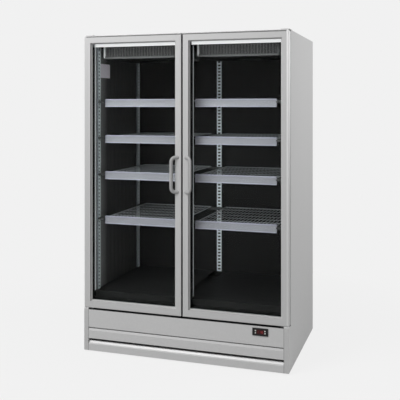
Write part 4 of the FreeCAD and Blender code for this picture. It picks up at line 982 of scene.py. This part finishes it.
# %% The loops and the section of a frame
PALE_BAND = 14 * MM
BEAD_WIDE, BEAD_SUNK = 6 * MM, 13 * MM
GLASS_FRONT, GLASS_BITE = 20 * MM, 20 * MM


def frame_loop(mesh, low, high, sides, radii, steps):
    """One loop of an upright frame; right, top, left and bottom each have an inset and a depth."""
    (right, top, left, bottom), backs = zip(*sides)
    points = rounded((low.x + left, low.z + bottom), (high.x - right, high.z - top), radii, steps)
    backs += backs[:1]
    ring = []
    for number, (x, z) in enumerate(points):
        corner, step = divmod(number, steps + 1)
        share = step / max(steps, 1)
        back = backs[corner] * (1 - share) + backs[corner + 1] * share
        ring.append(mesh.verts.new((x, back, z)))
    return ring


def frame_section(wide, deep, edge):
    """Insets and depths of one side of a frame, from the rear outer edge round to the inner."""
    angles = [math.radians(90 * step / ROUND_STEPS) for step in range(ROUND_STEPS + 1)]
    points = [(0, deep)] + [(edge * (1 - math.cos(a)), edge * (1 - math.sin(a))) for a in angles]
    points.append((PALE_BAND, 0))
    step = wide - BEAD_WIDE
    points += [(step - MM, 0), (step, BEAD_SUNK), (wide - MM, BEAD_SUNK + MM)]
    points += [(wide, BEAD_SUNK + 2 * MM), (wide, GLASS_FRONT)]
    return points + [(wide - GLASS_BITE, GLASS_FRONT), (wide - GLASS_BITE, deep)]


print("the glass sits", round(GLASS_BITE / MM), "mm deep in the frame")

# %% Door frames
HINGE_ROUND, PLAIN_ROUND = 6 * MM, 3 * MM
TOP_CORNER, SMALL_CORNER = 11 * MM, 3 * MM
SIGHT_X, SIGHT_LOW, SIGHT_HIGH = (48 * MM, 606 * MM), 326 * MM, 1941 * MM
EDGE_HIGHLIGHT, SIDE_HIGHLIGHT = 1, 2

for side, sign in DOORS:
    node = f"door_{side}_frame"
    low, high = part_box(node)
    deep = high.y - low.y
    sight = sorted(sign * x for x in SIGHT_X)
    widths = (high.x - sight[1], high.z - SIGHT_HIGH, sight[0] - low.x, SIGHT_LOW - low.z)
    rounds = [PLAIN_ROUND] * 4
    rounds[1 - sign] = HINGE_ROUND
    corners = [SMALL_CORNER] * 4
    corners[0 if sign > 0 else 1] = TOP_CORNER
    sections = [frame_section(wide, deep, edge) for wide, edge in zip(widths, rounds)]
    extrusion = bmesh.new()
    rings = []
    for points in zip(*sections):
        reach = [max(radius - points[0][0], MM) for radius in corners]
        loop = [(inset, low.y + back) for inset, back in points]
        rings.append(frame_loop(extrusion, low, high, loop, reach, CORNER_STEPS))
    for face in joined(extrusion, rings, closed=True):
        middle = face.calc_center_median()
        # the right door's hinge side and rounded front edge take the painted highlight
        if middle.x > high.x - NEARLY and sign > 0:
            face.material_index = SIDE_HIGHLIGHT
        elif middle.x > CAD_BOX[1][0] - PALE_BAND and middle.y < low.y + HINGE_ROUND:
            face.material_index = EDGE_HIGHLIGHT
    paints = "door_paint worn_edge hinge_edge"
    piece(node + "_extrusion", extrusion, paints, "door_paint", [node], body=f"door_{side}")

# %% [markdown]
# ## Door gaskets, a painted shade strip and a rubber strip
#
# The gasket is a soft bellows round the back of the door: a flange in a groove, a narrow neck, and
# a bulb that holds the magnet. Its section is carried round the four sides in the same way. Along
# the top of the door, a grey strip paints the shade in the joint to the roof, and a black one on
# the right door closes the joint between the doors.

# %% Gaskets, painted shade strips and a rubber strip
GASKET_PROFILE = (
    (0, 0), (18, 0), (18, 1.6), (13, 2.4), (13, 3.2), (17, 4.2), (17, 8), (16, 8.7),
    (2, 8.7), (1, 8), (1, 4.2), (5, 3.2), (5, 2.4), (0, 1.6),
)
TOP_PROFILE = ((0.5, -4), (-0.4, -4), (-0.8, -4.7), (-0.8, -9.8), (-0.4, -10.5), (0.5, -10.5))
TOP_INNER, TOP_OUTER = 6 * MM, 640 * MM
MEETING_PROFILE = ((0, 0.4), (0.6, -0.5), (2, -0.5), (2.8, 0.4), (2.8, 20), (0, 20))


def framed(mesh, profile, low, high, radius=0.0, steps=0):
    """A closed profile in millimetres round an upright rectangle, given as how far in and back."""
    rings = []
    for inset, back in profile:
        sides = [(inset * MM, low.y + back * MM)] * 4
        rings.append(frame_loop(mesh, low, high, sides, [max(radius - inset * MM, 0)] * 4, steps))
    joined(mesh, rings, closed=True)


for side, sign in DOORS:
    body = f"door_{side}"
    bellows = bmesh.new()
    framed(bellows, GASKET_PROFILE, *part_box(body + "_gasket"))
    piece(body + "_bellows", bellows, "gasket_rubber", "gasket_grey", [body + "_gasket"], body=body)
    low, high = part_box(body + "_frame")
    # a grey strip along the top of the door paints the shade in the joint to the roof
    profile = moved(TOP_PROFILE, low.y, high.z)
    span = sorted((sign * TOP_INNER, sign * TOP_OUTER))
    strip_piece(body + "_top_shade_strip", profile, 0, span, "strip_rubber", "seal_black", body=body)

low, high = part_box("door_right_frame")
profile = moved(MEETING_PROFILE, low.x, low.y)
span = (low.z + TOP_INNER, high.z - TOP_INNER)
body = "door_right"
strip_piece(body + "_meeting_strip", profile, 2, span, "butyl_seal", "seal_black", body=body)

# %% [markdown]
# ## Post ledges and a painted shade strip
#
# The two short posts of the base end in a small ledge that closes the gap below the hinge side of
# each door; its paler paint is a painted highlight. It is a folded lip, drawn across the post.
# Between the posts a black strip in the gap under the doors is painted shade, and two grey ones
# cover the joints beside the posts.

# %% Ledges, a painted shade strip and joint strips
LEDGE_PROFILE = ((0, 0), (0, 8.5), (1.5, 10.5), (17, 10.5), (17, 0))
LEDGE_INNER = 625 * MM
GAP_PROFILE = ((1.5, 0), (2.2, 0.8), (52, 0.8), (53, 0))
JOINT_PROFILE = ((-1.2, 0.2), (-0.9, -0.2), (0.9, -0.2), (1.2, 0.2))

posts_low, posts_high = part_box("base_posts")
profile = moved(LEDGE_PROFILE, posts_low.y, posts_high.z)
span = (LEDGE_INNER, posts_high.x)
# the ledge's paler paint is a painted highlight on its top
strip_piece("post_ledges", profile, 0, span, "soft_edge", "body_paint", twin=True)

low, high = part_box("base_fascia")
profile = moved(GAP_PROFILE, low.y, high.z)
# the black strip in the gap under the doors is painted shade
strip_piece("gap_shade_strip", profile, 0, (low.x + MM, high.x - MM), "trim_plastic", "trim_dark")

profile = moved(JOINT_PROFILE, LEDGE_INNER, posts_low.y)
span = (posts_low.z, posts_high.z)
strip_piece("post_joints", profile, 2, span, "strip_rubber", "trim_dark", twin=True)

# %% [markdown]
# ## The controller
#
# The thermostat is a small moulded panel: a bezel with a raised rim, a red window with lit figures,
# and two keys at each side. The figures are built from the seven bars of a plain display, and each
# key cap moves with its own body.

# %% Display figures
SEGMENTS = {
    "a": ((-1, 2), (1, 2)), "b": ((1, 2), (1, 0)), "c": ((1, 0), (1, -2)), "d": ((-1, -2), (1, -2)),
    "e": ((-1, 0), (-1, -2)), "f": ((-1, 2), (-1, 0)), "g": ((-1, 0), (1, 0)),
}
FIGURES = ("g", "bc", "abcdefg")
FIGURE_HALF, FIGURE_STEP = 3.1 * MM, 12 * MM
SEGMENT_HALF, SEGMENT_GAP = 0.75 * MM, 0.5 * MM
SEGMENT_RISE = 0.15 * MM


def segment(mesh, start, end, front):
    """One pointed bar of a figure between two (x, z) places."""
    along = (end - start).normalized()
    side = Vector((-along.y, along.x)) * SEGMENT_HALF
    start, end = start + along * SEGMENT_GAP, end - along * SEGMENT_GAP
    near, far = start + along * SEGMENT_HALF, end - along * SEGMENT_HALF
    points = (start, near + side, far + side, end, far - side, near - side)
    drawn(mesh, [tuple(point) for point in points], 1, front - SEGMENT_RISE, front + SEGMENT_RISE)


low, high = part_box("controller_window")
centre = (low + high) / 2
figures = bmesh.new()
for number, names in enumerate(FIGURES):
    middle = Vector((centre.x + (number - 1) * FIGURE_STEP, centre.z))
    for name in names:
        start, end = (middle + Vector(spot) * FIGURE_HALF for spot in SEGMENTS[name])
        segment(figures, start, end, low.y)
piece("display_figures", figures, "display_light", "display_red")

# %% Bezel rim and key caps
RIM_PROFILE = ((0, 0), (0, -0.9), (2.2, -0.9), (2.6, 0))
RIM_CORNER = 3 * MM
KEY_CORNER, KEY_STEPS, KEY_SOFT = 1.2 * MM, 4, 0.4 * MM

rim = bmesh.new()
framed(rim, RIM_PROFILE, *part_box("controller_bezel"), radius=RIM_CORNER, steps=CORNER_STEPS)
piece("bezel_rim", rim, "controller_gloss", "controller_black")

for corner in ("upper_left", "lower_left", "upper_right", "lower_right"):
    node = "key_" + corner
    low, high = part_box(node)
    profile = rounded((low.x, low.z), (high.x, high.z), [KEY_CORNER] * 4, KEY_STEPS)
    strip_piece(
        node + "_cap", profile, 1, (low.y, high.y), "key_rubber", "key_pale", [node],
        body=node, bevel=KEY_SOFT,
    )

# %% [markdown]
# ## Screws and feet
#
# The rear grille is held by pan head screws: each is a short cone on a washer. The feet are turned
# discs on threaded studs, which round bars show better than the flat-sided solids of the CAD model.

# %% Screws
SCREWS, SCREW_INSET, SCREW_SIDES = 5, 14 * MM, 20
SCREW_RADIUS, SCREW_RISE = 4 * MM, 1.6 * MM
HEAD_TOP = 0.7 * SCREW_RADIUS
WASHER_RADIUS, WASHER_RISE = 1.5 * SCREW_RADIUS, 0.6 * MM
BACK = Vector((0, 1, 0))

screws = bmesh.new()
low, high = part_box("rear_grille")
for number in range(SCREWS):
    x = low.x + SCREW_INSET + (high.x - low.x - 2 * SCREW_INSET) * number / (SCREWS - 1)
    for z in (low.z + SCREW_INSET, high.z - SCREW_INSET):
        place = Vector((x, high.y, z))
        bar(screws, place, place + BACK * WASHER_RISE, WASHER_RADIUS, SCREW_SIDES)
        bar(screws, place, place + BACK * SCREW_RISE, SCREW_RADIUS, SCREW_SIDES, HEAD_TOP)
piece("rear_screws", screws, "screw_steel", "hinge_steel")

# %% Feet
FOOT_RADIUS, FOOT_SIDES = 22 * MM, 36
FOOT_TOP = 0.6 * FOOT_RADIUS
DISC_RISE, CONE_RISE = 3 * MM, 8 * MM
STUD_RADIUS, STUD_SIDES = 6 * MM, 20

feet = bmesh.new()
low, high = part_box("levelling_feet")
for x in (low.x + FOOT_RADIUS, high.x - FOOT_RADIUS):
    for y in (low.y + FOOT_RADIUS, high.y - FOOT_RADIUS):
        bar(feet, (x, y, 0), (x, y, DISC_RISE), FOOT_RADIUS, FOOT_SIDES)
        bar(feet, (x, y, DISC_RISE), (x, y, CONE_RISE), FOOT_RADIUS, FOOT_SIDES, FOOT_TOP)
        bar(feet, (x, y, CONE_RISE), (x, y, high.z), STUD_RADIUS, STUD_SIDES)
piece("turned_feet", feet, "foot_plastic", "foot_black", ["levelling_feet"])

# %% [markdown]
# ## The plain studio
#
# The floor and the wall are one pale grey, which camera, mirror and glass rays see directly. Other
# rays meet an ordinary surface, so that the light on the cabinet comes from the lamps and not from
# the backdrop. Close to the cabinet the floor also shows a share of real shade.

# %% World
PALE = tone(241)
SKY_LIGHT = 0.31


def seen_directly(tree):
    """1 for rays from the camera, from glossy surfaces and through glass."""
    path = add(tree, "LightPath")
    total = path.outputs["Is Camera Ray"]
    for name in ("Is Glossy Ray", "Is Transmission Ray"):
        total = add(tree, "Math", total, path.outputs[name])
        total.operation = "MAXIMUM"
    return total


world = bpy.data.worlds.new("pale_studio")
world.use_nodes = True
SCENE.world = world
tree = world.node_tree
lit = plug(tree, tree.nodes["Background"], Color=(1, 1, 1, 1), Strength=SKY_LIGHT)
shown = add(tree, "Background", Color=PALE)
sky = mixed(tree, seen_directly(tree), lit, shown)
plug(tree, tree.nodes["World Output"], Surface=sky)
print("sky light", SKY_LIGHT)

# %% Floor
FLOOR_HALF, FLOOR_DROP = 30, 0.5 * MM
LIT_GREY, FLOOR_ROUGH = 205, 0.9
SHADE_GREY, SHADE_GLOW, SHADE_SCALE = 90, 0.9, (0.45, 0.45, 1)

ground = bmesh.new()
bmesh.ops.create_grid(ground, x_segments=1, y_segments=1, size=FLOOR_HALF)
ground_data = bpy.data.meshes.new("pale_floor")
ground.to_mesh(ground_data)
ground.free()
floor = bpy.data.objects.new("pale_floor", ground_data)
floor.location.z = -FLOOR_DROP
SCENE.collection.objects.link(floor)

floor_paint, tree, surface = new_material("pale_floor")
plug(tree, surface, Base_Color=tone(LIT_GREY), Roughness=FLOOR_ROUGH)
shade = add(tree, "BsdfDiffuse", Color=tone(SHADE_GREY))
glow = add(tree, "Emission", Color=PALE, Strength=SHADE_GLOW)
both = add(tree, "AddShader", shade, glow)
plain = add(tree, "Emission", Color=PALE)
nearness = add(tree, "TexGradient", Vector=coordinates(tree, SHADE_SCALE))
nearness.gradient_type = "SPHERICAL"
near_floor = mixed(tree, nearness.outputs["Fac"], plain, both)
whole_floor = mixed(tree, seen_directly(tree), surface, near_floor)
plug(tree, tree.nodes["Material Output"], Surface=whole_floor)
floor.data.materials.append(floor_paint)
print("floor", 2 * FLOOR_HALF, "m wide")

# %% [markdown]
# ## Lamps
#
# Two soft lamps do the work of a studio: a key high on the left in front, and one on the right, set
# back so far that it reaches the side panel but not the recesses of the front. Both are nearer to
# the top, so the cabinet darkens gently towards the floor. A narrow lamp behind each lit strip
# carries its light into the bay. The glass already lets lamp light through, so rays that pass it
# don't meet the lamps again.

# %% Lamps
BAY_MIDDLE = 0.32


def soft_lamp(name, place, aim, size, watts):
    """A flat lamp that looks at a point."""
    light = bpy.data.lights.new(name, "AREA")
    light.shape = "RECTANGLE"
    light.size, light.size_y = size
    light.energy = watts
    lamp = bpy.data.objects.new(name, light)
    lamp.location = place
    lamp.rotation_euler = (Vector(aim) - Vector(place)).to_track_quat("-Z", "Y").to_euler()
    lamp.visible_transmission = False
    SCENE.collection.objects.link(lamp)


soft_lamp("key_lamp", place=(-1.5, -3.0, 4.2), aim=(0, -0.4, 1.6), size=(2.0, 2.0), watts=156)
soft_lamp("side_lamp", place=(2.6, 0.35, 2.3), aim=(0.65, 0, 1.4), size=(1.2, 1.2), watts=26)
for sign in (-1, 1):
    x = sign * BAY_MIDDLE
    place, aim = (x, -0.34, 1.932), (x, 0.2, 0.6)
    soft_lamp(f"bay_lamp_{sign}", place, aim, size=(0.5, 0.02), watts=0.09)
SCENE.view_settings.view_transform = "Standard"
print("lamps ready")
